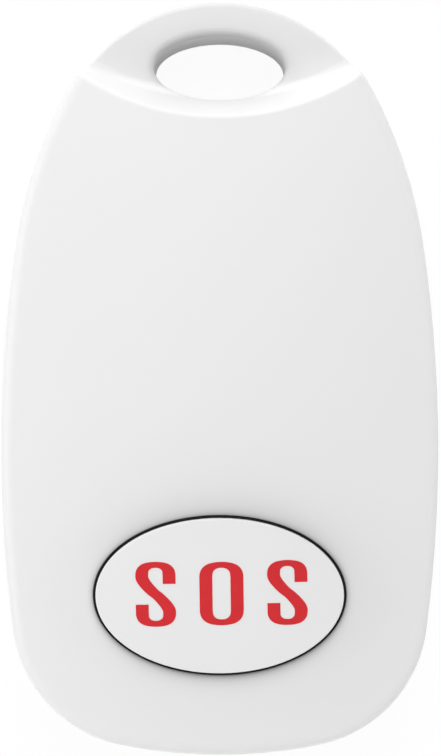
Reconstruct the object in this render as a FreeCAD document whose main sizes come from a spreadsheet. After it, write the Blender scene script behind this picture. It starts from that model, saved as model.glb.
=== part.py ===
import FreeCAD, Part
import math
import os
import re
import Sketcher

# Wireless push button: a pendant call fob with an oval button, lying on its back.
# Frame: origin under the middle of the outline on the rear face, +Y towards the eyelet,
# +Z out of the button, millimetres.

# Driving sizes in millimetres or degrees, and those that follow from them, with what each is
SIZES = (
    ("body_length", 60.0, "tail to eyelet end"),
    ("body_width", 34.5, "widest part of the outline"),
    ("widest_offset", 6.0, "widest part, below the middle of the length"),
    ("tail_radius", 42.0, "outline arc across the tail"),
    ("tail_corner_radius", 10.6, "outline arc of each tail corner"),
    ("flank_radius", 115.0, "outline arc of each flank"),
    ("shoulder_radius", 38.0, "outline arc of each shoulder"),
    ("eyelet_end_step", 3.6, "half the width to the radius of the eyelet end"),
    ("eyelet_end_radius", "=body_width / 2 - eyelet_end_step", "outline arc round the eyelet end"),
    ("parting_height", 5.0, "rear face to the joint of the shells"),
    ("crown_offset", 2.0, "top of the crown, below the middle of the length"),
    ("crown_across_radius", 72.0, "curve of the front face across the width"),
    ("crown_along_radius", 150.0, "curve of the front face along the length"),
    ("front_edge_radius", 1.2, "rounding where the front face meets the flanks"),
    ("rear_edge_radius", 1.6, "rounding where the rear face meets the flanks"),
    ("parting_chamfer", 0.15, "bevel on each shell along the joint line"),
    ("shell_wall", 1.7, "flank wall of both shells"),
    ("ceiling_wall", 1.6, "front face wall"),
    ("floor_wall", 1.5, "rear face wall"),
    ("scoop_beyond", 13.3, "centre of the scoop, beyond the eyelet end"),
    ("scoop_floor_radius", 20.5, "edge of the flat floor of the scoop"),
    ("scoop_fillet", 0.8, "hollow curve at the foot of the scoop wall"),
    ("scoop_draft", 19.8, "lean of the scoop wall, degrees"),
    ("scoop_edge_radius", 0.4, "rounding where the scoop meets the front face"),
    ("loop_height", 6.6, "rear face to the front of the eyelet loop"),
    ("eyelet_length", 10.5, "eyelet hole across the width"),
    ("eyelet_opening", 5.2, "eyelet hole along the length"),
    ("eyelet_end_wall", 2.7, "loop left between the eyelet and the end"),
    ("eyelet_rim_radius", 0.65, "rounding of the eyelet rims"),
    ("button_inset", 12.82, "tail to the button centre"),
    ("button_offset", "=body_length / 2 - button_inset", "button centre, below the middle"),
    ("opening_side", 7.3, "flank to the button opening"),
    ("opening_length", "=body_width - 2 * opening_side", "button opening across the width"),
    ("opening_height", 12.65, "button opening along the length"),
    ("lip_inset", 0.9, "outline to the outside of the rear shell's tongue"),
    ("lip_height", 0.8, "tongue above the joint"),
    ("lip_root", 1.0, "tongue let into the rear shell below the joint"),
    ("lip_clearance", 0.05, "tongue to its rebate, each side"),
    ("seal_thickness", 0.5, "seal cord between tongue and rebate"),
    ("tail_screw_side", 7.2, "flank to the tail housing screws"),
    ("tail_screw_inset", 6.4, "tail to the tail housing screws"),
    ("head_screw_side", 6.8, "flank to the upper housing screws"),
    ("head_screw_inset", 15.0, "eyelet end to the upper housing screws"),
    ("housing_screw_diameter", 2.0, "housing screw over its thread"),
    ("housing_screw_length", 7.0, "housing screw below the head"),
    ("housing_head_diameter", 3.5, "housing screw head"),
    ("housing_head_height", 1.3, "housing screw head"),
    ("counterbore_diameter", 4.0, "recess for a housing screw head"),
    ("counterbore_depth", 1.9, "recess for a housing screw head"),
    ("screw_clearance", 0.2, "through holes over the screw diameter"),
    ("thread_clearance", 0.02, "threaded bores over the screw diameter"),
    ("tip_clearance", 0.3, "bores beyond the screw tips"),
    ("rear_boss_diameter", 6.2, "screw bosses of the rear shell"),
    ("front_boss_diameter", 4.0, "screw bosses of the front shell"),
    ("board_thickness", 1.0, "circuit board"),
    ("board_inset", 2.9, "outline to the edge of the circuit board"),
    ("board_scoop_gap", 0.9, "scoop wall to the circuit board"),
    ("board_boss_gap", 0.5, "circuit board to the bosses it goes round"),
    ("board_screw_side", 4.8, "flank to the board screws"),
    ("board_screw_offset", 7.6, "board screws, below the middle of the length"),
    ("board_screw_length", 4.5, "board screw below the head"),
    ("board_post_diameter", 3.4, "posts that the circuit board is screwed to"),
    ("small_screw_diameter", 1.4, "board and frame screws over the thread"),
    ("small_head_diameter", 2.5, "board and frame screw heads"),
    ("small_head_height", 0.9, "board and frame screw heads"),
    ("head_bevel", 0.4, "bevel round a screw head"),
    ("screw_point", 0.4, "bevel round a screw tip"),
    ("pin_side", 5.7, "flank to the locating pins"),
    ("pin_offset", 8.5, "locating pins, above the middle of the length"),
    ("pin_diameter", 1.2, "locating pins of the circuit board"),
    ("pin_length", 1.2, "locating pins below their shoulders"),
    ("pin_clearance", 0.3, "pin holes over the pin diameter"),
    ("pin_post_diameter", 2.6, "shoulders of the locating pins"),
    ("cell_diameter", 20.0, "coin cell"),
    ("cell_thickness", 3.2, "coin cell"),
    ("cell_offset", 3.0, "coin cell centre, above the middle of the length"),
    ("cell_edge", 0.4, "bevel round the cell's can"),
    ("cell_cap_inset", 1.2, "cell edge to its raised cap"),
    ("cell_cap_height", 0.3, "cap above the cell's can"),
    ("contact_diameter", 10.0, "contact disc between board and cell"),
    ("contact_thickness", 0.2, "contact disc between board and cell"),
    ("clip_width", 8.0, "battery clip strap"),
    ("clip_thickness", 0.25, "battery clip sheet"),
    ("clip_side_gap", 0.3, "cell edge to the legs of the clip"),
    ("clip_foot", 1.6, "soldered feet of the clip"),
    ("cell_rib_gap", 1.1, "clip legs to the rib on the rear floor"),
    ("cell_rib_wall", 0.8, "rib round the cell on the rear floor"),
    ("cell_rib_height", 2.4, "rib round the cell above the rear floor"),
    ("switch_side", 6.0, "switch base, both ways"),
    ("switch_base_height", 1.7, "switch base above the board"),
    ("switch_floor", 0.5, "floor of the switch base"),
    ("switch_bore", 4.4, "bore of the switch base"),
    ("cover_thickness", 0.2, "switch cover sheet"),
    ("cover_hole", 3.4, "plunger hole of the switch cover"),
    ("cover_tab_width", 3.0, "side tabs of the switch cover"),
    ("cover_tab_height", 1.0, "side tabs of the switch cover"),
    ("plunger_diameter", 3.2, "switch plunger"),
    ("plunger_height", 2.5, "board to the top of the plunger"),
    ("plunger_edge", 0.2, "bevel round the top of the plunger"),
    ("plunger_flange_diameter", 4.0, "retaining flange of the plunger"),
    ("plunger_flange_height", 0.45, "retaining flange of the plunger"),
    ("plunger_play", 0.05, "flange to the switch cover"),
    ("nub_diameter", 1.2, "end of the plunger on the dome"),
    ("dome_diameter", 4.0, "snap dome"),
    ("button_travel", 0.3, "stroke of the cap, the plunger and the dome"),
    ("dome_rest", 0.05, "dome over its rim when pressed"),
    ("dome_rise", "=button_travel + dome_rest", "dome over its rim"),
    ("dome_thickness", 0.08, "snap dome sheet"),
    ("terminal_width", 0.7, "switch terminals"),
    ("terminal_thickness", 0.2, "switch terminals"),
    ("terminal_spread", 4.5, "between the terminals of one side"),
    ("terminal_rise", 0.7, "board to the root of the terminals"),
    ("terminal_reach", 1.5, "terminals out from the switch base"),
    ("button_gap", 0.25, "cap to the edge of its opening"),
    ("button_proud", 0.8, "cap above the front face"),
    ("button_edge_radius", 0.12, "rounding of the cap's edge"),
    ("cap_flange_reach", 0.15, "cap flange beyond the opening"),
    ("cap_flange_thickness", 0.5, "cap flange"),
    ("cap_flange_play", 0.1, "cap flange to the rim above it"),
    ("cap_roof", 1.4, "cap under its top face"),
    ("cap_rim", 1.5, "side wall of the cap"),
    ("cap_foot_length", 8.0, "foot of the cap across the width"),
    ("cap_foot_width", 4.0, "foot of the cap along the length"),
    ("boot_reach", 1.1, "boot flange beyond the opening"),
    ("boot_flange_thickness", 0.7, "boot flange"),
    ("boot_wall", 0.4, "upright wall of the boot"),
    ("boot_wall_gap", 0.05, "boot wall to the shell"),
    ("boot_web_thickness", 0.4, "web of the boot"),
    ("boot_web_rise", 0.17, "underside of the boot flange to its web"),
    ("boot_pad_length", 11.0, "pad of the boot across the width"),
    ("boot_pad_width", 6.0, "pad of the boot along the length"),
    ("boot_pip_diameter", 2.8, "pip of the boot over the plunger"),
    ("boot_pip_gap", 0.05, "pip to the plunger"),
    ("frame_thickness", 0.8, "clamping frame of the boot"),
    ("frame_window_inset", 0.1, "frame window inside the opening"),
    ("frame_screw_side", 4.3, "flank to the frame screws"),
    ("frame_screw_length", 2.0, "frame screw below the head"),
    ("frame_bridge_width", 2.6, "frame from one ear to the other"),
    ("frame_ear_diameter", 3.2, "ears of the clamping frame"),
    ("cell_floor_gap", 0.35, "rear floor to the battery clip"),
    ("boot_pad_thickness", 1.15, "pip and pad between plunger and cap"),
    ("boot_pad_rise", 0.2, "pad above the boot flange"),
    ("boot_wall_height", 1.0, "boot flange to the underside of the opening rim"),
    ("rim_depth", 2.4, "underside of the opening rim to the top of the crown"),
    (
        "board_height",
        "=floor_wall + cell_floor_gap + clip_thickness + cell_thickness + contact_thickness",
        "rear face to the underside of the circuit board",
    ),
    (
        "cap_foot_height",
        "=board_height + board_thickness + plunger_height + boot_pip_gap + boot_pad_thickness",
        "rear face to the foot of the cap",
    ),
    ("seat_height", "=cap_foot_height - boot_pad_rise", "rear face to the seat of the boot flange"),
    ("rim_height", "=seat_height + boot_wall_height", "rear face to the opening rim's underside"),
    ("crown_height", "=rim_height + rim_depth", "rear face to the top of the front face"),
    ("controller_side", 5.0, "controller chip, both ways"),
    ("controller_height", 0.9, "controller chip"),
    ("controller_across", 6.0, "controller chip, left of the middle"),
    ("controller_along", 1.5, "controller chip, above the middle"),
    ("transmitter_side", 4.0, "transmitter chip, both ways"),
    ("transmitter_height", 0.8, "transmitter chip"),
    ("transmitter_across", 3.5, "transmitter chip, right of the middle"),
    ("transmitter_along", 8.0, "transmitter chip, above the middle"),
    ("crystal_length", 5.0, "quartz crystal"),
    ("crystal_width", 3.2, "quartz crystal"),
    ("crystal_height", 1.2, "quartz crystal"),
    ("crystal_across", 4.5, "quartz crystal, right of the middle"),
    ("crystal_along", 1.5, "quartz crystal, above the middle"),
    ("antenna_wire", 0.8, "wire of the aerial"),
    ("antenna_side", 9.9, "flank to the legs of the aerial"),
    ("antenna_span", "=body_width - 2 * antenna_side", "between the legs of the aerial"),
    ("antenna_rise", 2.4, "board to the middle of the aerial wire"),
    ("antenna_bend", 1.2, "bends of the aerial"),
    ("antenna_inset", 1.6, "upper end of the circuit board to the aerial"),
    ("resistor_length", 1.0, "chip resistor"),
    ("resistor_width", 0.5, "chip resistor"),
    ("resistor_height", 0.35, "chip resistor"),
    ("resistor_pitch", 1.1, "between chip resistors"),
    ("resistor_side", 6.4, "flank to the chip resistors"),
    ("resistor_across", "=body_width / 2 - resistor_side", "chip resistors, left of the middle"),
    ("resistor_along", 3.0, "first chip resistor, below the middle"),
    ("capacitor_length", 1.6, "chip capacitor"),
    ("capacitor_width", 0.8, "chip capacitor"),
    ("capacitor_height", 0.8, "chip capacitor"),
    ("capacitor_pitch", 1.6, "between chip capacitors"),
    ("capacitor_side", 7.2, "flank to the chip capacitors"),
    ("capacitor_across", "=body_width / 2 - capacitor_side", "chip capacitors, right of the middle"),
    ("capacitor_along", 2.0, "first chip capacitor, below the middle"),
)

RESISTORS = 6
CAPACITORS = 5

UP = FreeCAD.Vector(0, 0, 1)
OVERRUN = 2.0  # how far a cutter runs past what it cuts
CROWN_SWEEP = 50.0  # degrees of the barrel that the front face is cut from
TOLERANCE = 0.01  # how near a point counts as lying on a curve

doc = FreeCAD.newDocument("call_fob")
sheet = doc.addObject("Spreadsheet::Sheet", "Sizes")
for row, (alias, amount, note) in enumerate(SIZES, start=1):
    sheet.set(f"A{row}", alias)
    sheet.set(f"B{row}", str(amount))
    sheet.setAlias(f"B{row}", alias)
    sheet.set(f"C{row}", note)
doc.recompute()


def size(alias):
    """The number in the sheet cell with that alias."""
    return float(sheet.get(alias))


def bind(item, **rules):
    """Binds properties to formulas of sheet aliases. In a keyword, __ stands for a dot."""
    aliases = {alias for alias, _, _ in SIZES}
    for key, rule in rules.items():
        formula = re.sub(
            r"[a-z]+(?:_[a-z]+)+",
            lambda found: "Sizes." + found[0] if found[0] in aliases else found[0],
            str(rule),
        )
        item.setExpression(key.replace("__", "."), formula)
    return item


def place(item, x="0", y="0", z="0"):
    return bind(item, Placement__Base__x=x, Placement__Base__y=y, Placement__Base__z=z)


def limit(sketch, name, rule, *constraint):
    """Adds a dimension to a sketch and binds it to a formula."""
    index = sketch.addConstraint(Sketcher.Constraint(*constraint))
    sketch.renameConstraint(index, name)
    bind(sketch, **{"Constraints__" + name: rule})


def extrude(name, profile, height):
    solid = doc.addObject("Part::Extrusion", name)
    solid.Base = profile
    solid.DirMode = "Normal"
    solid.Solid = True
    return bind(solid, LengthFwd=height)


def oval(name, length, width, y, z, height):
    """An upright elliptical block, its long axis across the fob."""
    ring = doc.addObject("Part::Ellipse", name + "_edge")
    bind(ring, MajorRadius=f"({length}) / 2", MinorRadius=f"({width}) / 2")
    place(ring, y=y, z=z)
    return extrude(name, ring, height)


def cut(name, base, *tools):
    result = doc.addObject("Part::Cut", name)
    result.Base = base
    result.Tool = tools[0] if len(tools) == 1 else fuse(name + "_tools", *tools)
    return result


def fuse(name, *shapes):
    result = doc.addObject("Part::MultiFuse", name)
    result.Shapes = list(shapes)
    return result


def common(name, first, second):
    result = doc.addObject("Part::Common", name)
    result.Base = first
    result.Tool = second
    return result


def edge_treatment(kind, name, base, amount, wanted):
    """A Part::Fillet or Part::Chamfer on the edges of base for which wanted(edge) is true."""
    doc.recompute()
    result = doc.addObject(kind, name)
    result.Base = base
    result.Edges = [
        (number, amount, amount)
        for number, edge in enumerate(base.Shape.Edges, start=1)
        if wanted(edge)
    ]
    return result


def rounded(name, base, radius, wanted):
    return edge_treatment("Part::Fillet", name, base, radius, wanted)


def bevelled(name, base, width, wanted):
    return edge_treatment("Part::Chamfer", name, base, width, wanted)


def middle(edge):
    return edge.valueAt((edge.FirstParameter + edge.LastParameter) / 2)


def samples(edge):
    """Both ends and the middle of an edge."""
    return [edge.valueAt(edge.FirstParameter), middle(edge), edge.valueAt(edge.LastParameter)]


def crossing(centre_a, radius_a, centre_b, radius_b):
    """The two points at those distances from two centres."""
    span = centre_b - centre_a
    along = (radius_a**2 - radius_b**2 + span.Length**2) / (2 * span.Length)
    aside = math.sqrt(radius_a**2 - along**2)
    direction = span / span.Length
    foot = centre_a + direction * along
    normal = FreeCAD.Vector(-direction.y, direction.x, 0)
    return foot + normal * aside, foot - normal * aside


def beyond(centre, inner, radius):
    """Where a circle touches the smaller circle about inner that lies inside it."""
    return centre + (inner - centre).normalize() * radius


def outline_arcs():
    """Centre, radius and end points of the outline's eight arcs, anticlockwise from the tail."""
    tail, corner, flank, shoulder, end = (
        size(alias)
        for alias in (
            "tail_radius",
            "tail_corner_radius",
            "flank_radius",
            "shoulder_radius",
            "eyelet_end_radius",
        )
    )
    half = size("body_length") / 2
    tail_centre = FreeCAD.Vector(0, tail - half, 0)
    end_centre = FreeCAD.Vector(0, half - end, 0)
    flank_centre = FreeCAD.Vector(size("body_width") / 2 - flank, -size("widest_offset"), 0)
    corner_centre = max(
        crossing(tail_centre, tail - corner, flank_centre, flank - corner),
        key=lambda point: point.x,
    )
    shoulder_centre = min(
        crossing(flank_centre, flank - shoulder, end_centre, shoulder - end),
        key=lambda point: point.y,
    )
    joints = [
        beyond(tail_centre, corner_centre, tail),
        beyond(flank_centre, corner_centre, flank),
        beyond(flank_centre, shoulder_centre, flank),
        beyond(shoulder_centre, end_centre, shoulder),
    ]

    def mirrored(point):
        return FreeCAD.Vector(-point.x, point.y, 0)

    right = [
        (corner_centre, corner, joints[0], joints[1]),
        (flank_centre, flank, joints[1], joints[2]),
        (shoulder_centre, shoulder, joints[2], joints[3]),
    ]
    left = [
        (mirrored(centre), radius, mirrored(last), mirrored(first))
        for centre, radius, first, last in reversed(right)
    ]
    return (
        [(tail_centre, tail, mirrored(joints[0]), joints[0])]
        + right
        + [(end_centre, end, joints[3], mirrored(joints[3]))]
        + left
    )


def arc(centre, radius, first, last):
    """An anticlockwise arc between two points of a circle."""
    start = math.atan2(first.y - centre.y, first.x - centre.x)
    stop = math.atan2(last.y - centre.y, last.x - centre.x)
    if stop < start:
        stop += 2 * math.pi
    return Part.ArcOfCircle(Part.Circle(centre, UP, radius), start, stop)


def outline(name, inset="0"):
    """A sketch of the fob's outline, drawn that far inside its true edge."""
    sketch = doc.addObject("Sketcher::SketchObject", name)
    arcs = outline_arcs()
    sketch.addGeometry([arc(*item) for item in arcs], False)
    for index in range(len(arcs)):
        following = (index + 1) % len(arcs)
        sketch.addConstraint(Sketcher.Constraint("Tangent", index, 2, following, 1))
    tail, corner, flank, shoulder, end, left_shoulder, left_flank, left_corner = range(8)
    for index, alias in (
        (tail, "tail_radius"),
        (corner, "tail_corner_radius"),
        (flank, "flank_radius"),
        (shoulder, "shoulder_radius"),
        (end, "eyelet_end_radius"),
    ):
        limit(sketch, alias, f"{alias} - ({inset})", "Radius", index, arcs[index][1])
    for right, left in ((corner, left_corner), (flank, left_flank), (shoulder, left_shoulder)):
        sketch.addConstraint(Sketcher.Constraint("Equal", right, left))
    for index in (tail, end):
        sketch.addConstraint(Sketcher.Constraint("PointOnObject", index, 3, -2))
    limit(
        sketch, "tail_centre", "tail_radius - body_length / 2",
        "DistanceY", -1, 1, tail, 3, arcs[tail][0].y,
    )
    limit(
        sketch, "end_centre", "body_length / 2 - eyelet_end_radius",
        "DistanceY", -1, 1, end, 3, arcs[end][0].y,
    )
    aside = "flank_radius - body_width / 2"
    reach = -arcs[flank][0].x
    limit(sketch, "flank_aside", aside, "DistanceX", flank, 3, -1, 1, reach)
    limit(sketch, "left_flank_aside", aside, "DistanceX", -1, 1, left_flank, 3, reach)
    low = -arcs[flank][0].y
    limit(sketch, "flank_low", "widest_offset", "DistanceY", flank, 3, -1, 1, low)
    limit(sketch, "left_flank_low", "widest_offset", "DistanceY", left_flank, 3, -1, 1, low)
    return sketch


def outline_block(name, inset, z, height):
    edge = outline(name + "_edge", inset)
    place(edge, z=z)
    return extrude(name, edge, height)


def crown(name, inset="0"):
    """A barrel piece whose top is the front face's double curve, lowered by inset."""
    sketch = doc.addObject("Sketcher::SketchObject", name + "_edge")
    sketch.Placement.Rotation = FreeCAD.Rotation(FreeCAD.Vector(1, 0, 0), 90)
    place(sketch, y="-crown_offset")
    half = size("body_width") / 2 + OVERRUN
    radius = size("crown_across_radius")
    centre = FreeCAD.Vector(0, size("crown_height") - radius, 0)
    top = centre.y + math.sqrt(radius**2 - half**2)
    low = -OVERRUN
    sketch.addGeometry(
        [
            arc(centre, radius, FreeCAD.Vector(half, top, 0), FreeCAD.Vector(-half, top, 0)),
            Part.LineSegment(FreeCAD.Vector(-half, top, 0), FreeCAD.Vector(-half, low, 0)),
            Part.LineSegment(FreeCAD.Vector(-half, low, 0), FreeCAD.Vector(half, low, 0)),
            Part.LineSegment(FreeCAD.Vector(half, low, 0), FreeCAD.Vector(half, top, 0)),
        ],
        False,
    )
    for index in range(4):
        following = (index + 1) % 4
        sketch.addConstraint(Sketcher.Constraint("Coincident", index, 2, following, 1))
    sketch.addConstraint(Sketcher.Constraint("Vertical", 1))
    sketch.addConstraint(Sketcher.Constraint("Horizontal", 2))
    sketch.addConstraint(Sketcher.Constraint("Vertical", 3))
    sketch.addConstraint(Sketcher.Constraint("PointOnObject", 0, 3, -2))
    limit(sketch, "curve", f"crown_across_radius - ({inset})", "Radius", 0, radius)
    limit(
        sketch, "drop", "crown_across_radius - crown_height",
        "DistanceY", 0, 3, -1, 1, -centre.y,
    )
    limit(sketch, "right", f"body_width / 2 + {OVERRUN}", "DistanceX", -1, 1, 2, 2, half)
    limit(sketch, "left", f"body_width / 2 + {OVERRUN}", "DistanceX", 2, 1, -1, 1, half)
    limit(sketch, "low", f"{OVERRUN}", "DistanceY", 2, 1, -1, 1, OVERRUN)
    barrel = doc.addObject("Part::Revolution", name)
    barrel.Source = sketch
    barrel.Axis = FreeCAD.Vector(1, 0, 0)
    barrel.Angle = CROWN_SWEEP
    barrel.Symmetric = True
    barrel.Solid = True
    return bind(barrel, Base__y="-crown_offset", Base__z="crown_height - crown_along_radius")


def on_crown(point, inset=0.0):
    """Whether a point lies on the front face's double curve, lowered by inset."""
    along = size("crown_along_radius")
    across = size("crown_across_radius")
    reach = math.hypot(
        point.y + size("crown_offset"), point.z - size("crown_height") + along
    )
    curve = along - across + math.sqrt((across - inset) ** 2 - point.x**2)
    return abs(reach - curve) < TOLERANCE


def crowned_block(name, inset, sunk, z):
    """The outline drawn in by inset, from z up to the crown lowered by sunk."""
    block = outline_block(name + "_block", inset, z, f"crown_height + {OVERRUN} - ({z})")
    return common(name, block, crown(name + "_crown", sunk))



def value(rule):
    """What a formula of sheet aliases comes to now."""
    return float(sheet.evalExpression(rule))


def block(name, length, width, height, x, y, z):
    """A box centred on x and y, standing on z."""
    box = doc.addObject("Part::Box", name)
    bind(box, Length=length, Width=width, Height=height)
    return place(box, f"{x} - ({length}) / 2", f"{y} - ({width}) / 2", z)


def rod(name, diameter, height, x="0", y="0", z="0"):
    cylinder = doc.addObject("Part::Cylinder", name)
    bind(cylinder, Radius=f"({diameter}) / 2", Height=height)
    return place(cylinder, x, y, z)


def turned(name, profile, x="0", y="0"):
    """A body turned about an upright axis. The profile lists (radius, height) formulas."""
    body = doc.addObject("PartDesign::Body", name)
    sketch = body.newObject("Sketcher::SketchObject", name + "_profile")
    plane = next(item for item in body.Origin.OriginFeatures if item.Role == "XZ_Plane")
    sketch.AttachmentSupport = [(plane, "")]
    sketch.MapMode = "FlatFace"
    points = [FreeCAD.Vector(value(radius), value(height), 0) for radius, height in profile]
    closed = points[1:] + points[:1]
    lines = [Part.LineSegment(first, last) for first, last in zip(points, closed)]
    sketch.addGeometry(lines, False)
    for index in range(len(lines)):
        following = (index + 1) % len(lines)
        sketch.addConstraint(Sketcher.Constraint("Coincident", index, 2, following, 1))
    for index, (radius, height) in enumerate(profile):
        if radius == "0":
            sketch.addConstraint(Sketcher.Constraint("PointOnObject", index, 1, -2))
        else:
            at = points[index].x
            limit(sketch, f"radius_{index}", radius, "DistanceX", -1, 1, index, 1, at)
        at = points[index].y
        limit(sketch, f"height_{index}", height, "DistanceY", -1, 1, index, 1, at)
    spin = body.newObject("PartDesign::Revolution", name + "_turned")
    spin.Profile = sketch
    spin.ReferenceAxis = (sketch, ["V_Axis"])
    spin.Angle = 360
    body.Tip = spin
    return place(body, x, y)


def group(name, items):
    """Separate solids kept as one part."""
    result = doc.addObject("Part::Compound", name)
    result.Links = list(items)
    return result


def both_sides(x, y):
    return [(x, y), (f"-({x})", y)]


TAIL_SCREW = ("body_width / 2 - tail_screw_side", "tail_screw_inset - body_length / 2")
HEAD_SCREW = ("body_width / 2 - head_screw_side", "body_length / 2 - head_screw_inset")
HOUSING_SCREWS = both_sides(*TAIL_SCREW) + both_sides(*HEAD_SCREW)
BOARD_SCREWS = both_sides("body_width / 2 - board_screw_side", "-board_screw_offset")
FRAME_SCREWS = both_sides("body_width / 2 - frame_screw_side", "-button_offset")
PINS = both_sides("body_width / 2 - pin_side", "pin_offset")
SCOOP_CENTRE = "body_length / 2 + scoop_beyond"
EYELET_CENTRE = "body_length / 2 - eyelet_end_wall - eyelet_opening / 2"
BUTTON_CENTRE = "-button_offset"
BOARD_TOP = "board_height + board_thickness"
SCOOP_WALL = (
    "scoop_floor_radius + scoop_fillet * cos(scoop_draft)"
    " + (crown_height - loop_height - scoop_fillet) * tan(scoop_draft)"
)
BOARD_KEEP = f"{SCOOP_WALL} + shell_wall + board_scoop_gap"
BOOT_FOOT = "seat_height - boot_flange_thickness"
FRAME_FOOT = "seat_height - boot_flange_thickness - frame_thickness"
CAP_FLANGE_TOP = "rim_height - cap_flange_play"
CELL_TOP = "board_height - contact_thickness"
CELL_FOOT = "board_height - contact_thickness - cell_thickness"


def rods(name, points, diameter, height, z):
    return [
        rod(f"{name}_{number}", diameter, height, x, y, z)
        for number, (x, y) in enumerate(points, start=1)
    ]


def button_oval(name, outset, z, height):
    """An oval like the button opening, that far outside it all round."""
    return oval(
        name,
        f"opening_length + 2 * ({outset})",
        f"opening_height + 2 * ({outset})",
        BUTTON_CENTRE,
        z,
        height,
    )


def scoop_keep(name, radius):
    """Everything within that radius of the scoop's axis."""
    return rod(name, f"2 * ({radius})", "2 * crown_height", "0", SCOOP_CENTRE, "-crown_height / 2")


def cavity_region(name, inset, past_scoop, z, height):
    """The plan of the inside: the outline drawn in, less the eyelet end."""
    return cut(
        name,
        outline_block(name + "_block", inset, z, height),
        scoop_keep(name + "_keep", f"{SCOOP_WALL} + {past_scoop}"),
    )


def scoop_cutter():
    """What is cut away in front of the eyelet loop, turned about the scoop's axis."""
    sketch = doc.addObject("Sketcher::SketchObject", "scoop_edge")
    sketch.Placement.Rotation = FreeCAD.Rotation(FreeCAD.Vector(1, 0, 0), 90)
    place(sketch, y=SCOOP_CENTRE)
    floor = size("loop_height")
    foot = size("scoop_floor_radius")
    radius = size("scoop_fillet")
    lean = math.radians(size("scoop_draft"))
    top = size("crown_height") + OVERRUN
    centre = FreeCAD.Vector(foot, floor + radius, 0)
    bend = centre + FreeCAD.Vector(math.cos(lean), -math.sin(lean), 0) * radius
    brim = FreeCAD.Vector(bend.x + (top - bend.y) * math.tan(lean), top, 0)
    middle_foot = FreeCAD.Vector(0, floor, 0)
    middle_top = FreeCAD.Vector(0, top, 0)
    sketch.addGeometry(
        [
            Part.LineSegment(middle_foot, FreeCAD.Vector(foot, floor, 0)),
            arc(centre, radius, FreeCAD.Vector(foot, floor, 0), bend),
            Part.LineSegment(bend, brim),
            Part.LineSegment(brim, middle_top),
            Part.LineSegment(middle_top, middle_foot),
        ],
        False,
    )
    for first, second in ((0, 1), (1, 2)):
        sketch.addConstraint(Sketcher.Constraint("Tangent", first, 2, second, 1))
    for first, second in ((2, 3), (3, 4), (4, 0)):
        sketch.addConstraint(Sketcher.Constraint("Coincident", first, 2, second, 1))
    sketch.addConstraint(Sketcher.Constraint("Horizontal", 0))
    sketch.addConstraint(Sketcher.Constraint("Horizontal", 3))
    sketch.addConstraint(Sketcher.Constraint("PointOnObject", 4, 1, -2))
    sketch.addConstraint(Sketcher.Constraint("PointOnObject", 4, 2, -2))
    limit(sketch, "floor", "loop_height", "DistanceY", -1, 1, 0, 1, floor)
    limit(sketch, "foot", "scoop_floor_radius", "DistanceX", -1, 1, 0, 2, foot)
    limit(sketch, "fillet", "scoop_fillet", "Radius", 1, radius)
    limit(sketch, "top", f"crown_height + {OVERRUN}", "DistanceY", -1, 1, 3, 2, top)
    lean_from_upright = math.pi / 2 - lean
    limit(sketch, "lean", "90 - scoop_draft", "Angle", -1, 1, 2, 1, lean_from_upright)
    turn = doc.addObject("Part::Revolution", "scoop_cutter")
    turn.Source = sketch
    turn.Axis = UP
    turn.Angle = 360
    turn.Solid = True
    return bind(turn, Base__y=SCOOP_CENTRE)


def on_scoop(point):
    """Whether a point lies on the leaning wall of the scoop."""
    lean = math.radians(size("scoop_draft"))
    fillet = size("scoop_fillet")
    bend = size("loop_height") + fillet * (1 - math.sin(lean))
    wall = size("scoop_floor_radius") + fillet * math.cos(lean) + (point.z - bend) * math.tan(lean)
    return abs(math.hypot(point.x, point.y - value(SCOOP_CENTRE)) - wall) < TOLERANCE


def eyelet_cutter(name):
    return oval(
        name, "eyelet_length", "eyelet_opening", EYELET_CENTRE, "-crown_height / 2",
        "2 * crown_height",
    )


def on_eyelet(edge):
    """Whether an edge is part of a rim of the eyelet."""
    return all(
        abs(
            (2 * point.x / size("eyelet_length")) ** 2
            + (2 * (point.y - value(EYELET_CENTRE)) / size("eyelet_opening")) ** 2
            - 1
        ) < TOLERANCE
        for point in samples(edge)
    )


def level(edge, height):
    return all(abs(point.z - height) < TOLERANCE / 10 for point in samples(edge))


def front_blank():
    """The outside of the front shell, solid."""
    blank = crowned_block("front_body", "0", "0", "parting_height")
    blank = rounded(
        "front_edge", blank, size("front_edge_radius"),
        lambda edge: all(on_crown(point) for point in samples(edge)),
    )
    blank = bevelled(
        "front_parting", blank, size("parting_chamfer"),
        lambda edge: level(edge, size("parting_height")),
    )
    blank = cut("front_scooped", blank, scoop_cutter())
    return rounded(
        "front_blank", blank, size("scoop_edge_radius"),
        lambda edge: all(on_crown(point) and on_scoop(point) for point in samples(edge)),
    )


def front_cavity():
    hollow = crowned_block(
        "front_hollow", "shell_wall", "ceiling_wall", f"parting_height - {OVERRUN}"
    )
    return cut(
        "front_cavity", hollow,
        scoop_keep("front_keep", f"{SCOOP_WALL} + shell_wall"),
    )


def front_posts():
    """Bosses, posts, pins and the button seat, let into the ceiling."""
    reach = "crown_height"
    screw_bosses = rods(
        "front_boss", HOUSING_SCREWS, "front_boss_diameter", reach, "parting_height"
    )
    board_posts = rods("board_post", BOARD_SCREWS, "board_post_diameter", reach, BOARD_TOP)
    pin_posts = rods("pin_post", PINS, "pin_post_diameter", reach, BOARD_TOP)
    pins = rods("pin", PINS, "pin_diameter", reach, f"{BOARD_TOP} - pin_length")
    frame_bosses = rods(
        "frame_boss", FRAME_SCREWS, "frame_ear_diameter", reach, BOOT_FOOT
    )
    seat = button_oval("boot_seat", "boot_reach", "seat_height", reach)
    posts = fuse(
        "front_posts", *screw_bosses, *board_posts, *pin_posts, *pins, *frame_bosses, seat
    )
    return common("front_posts_kept", posts, crown("front_posts_top", "ceiling_wall / 2"))


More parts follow.
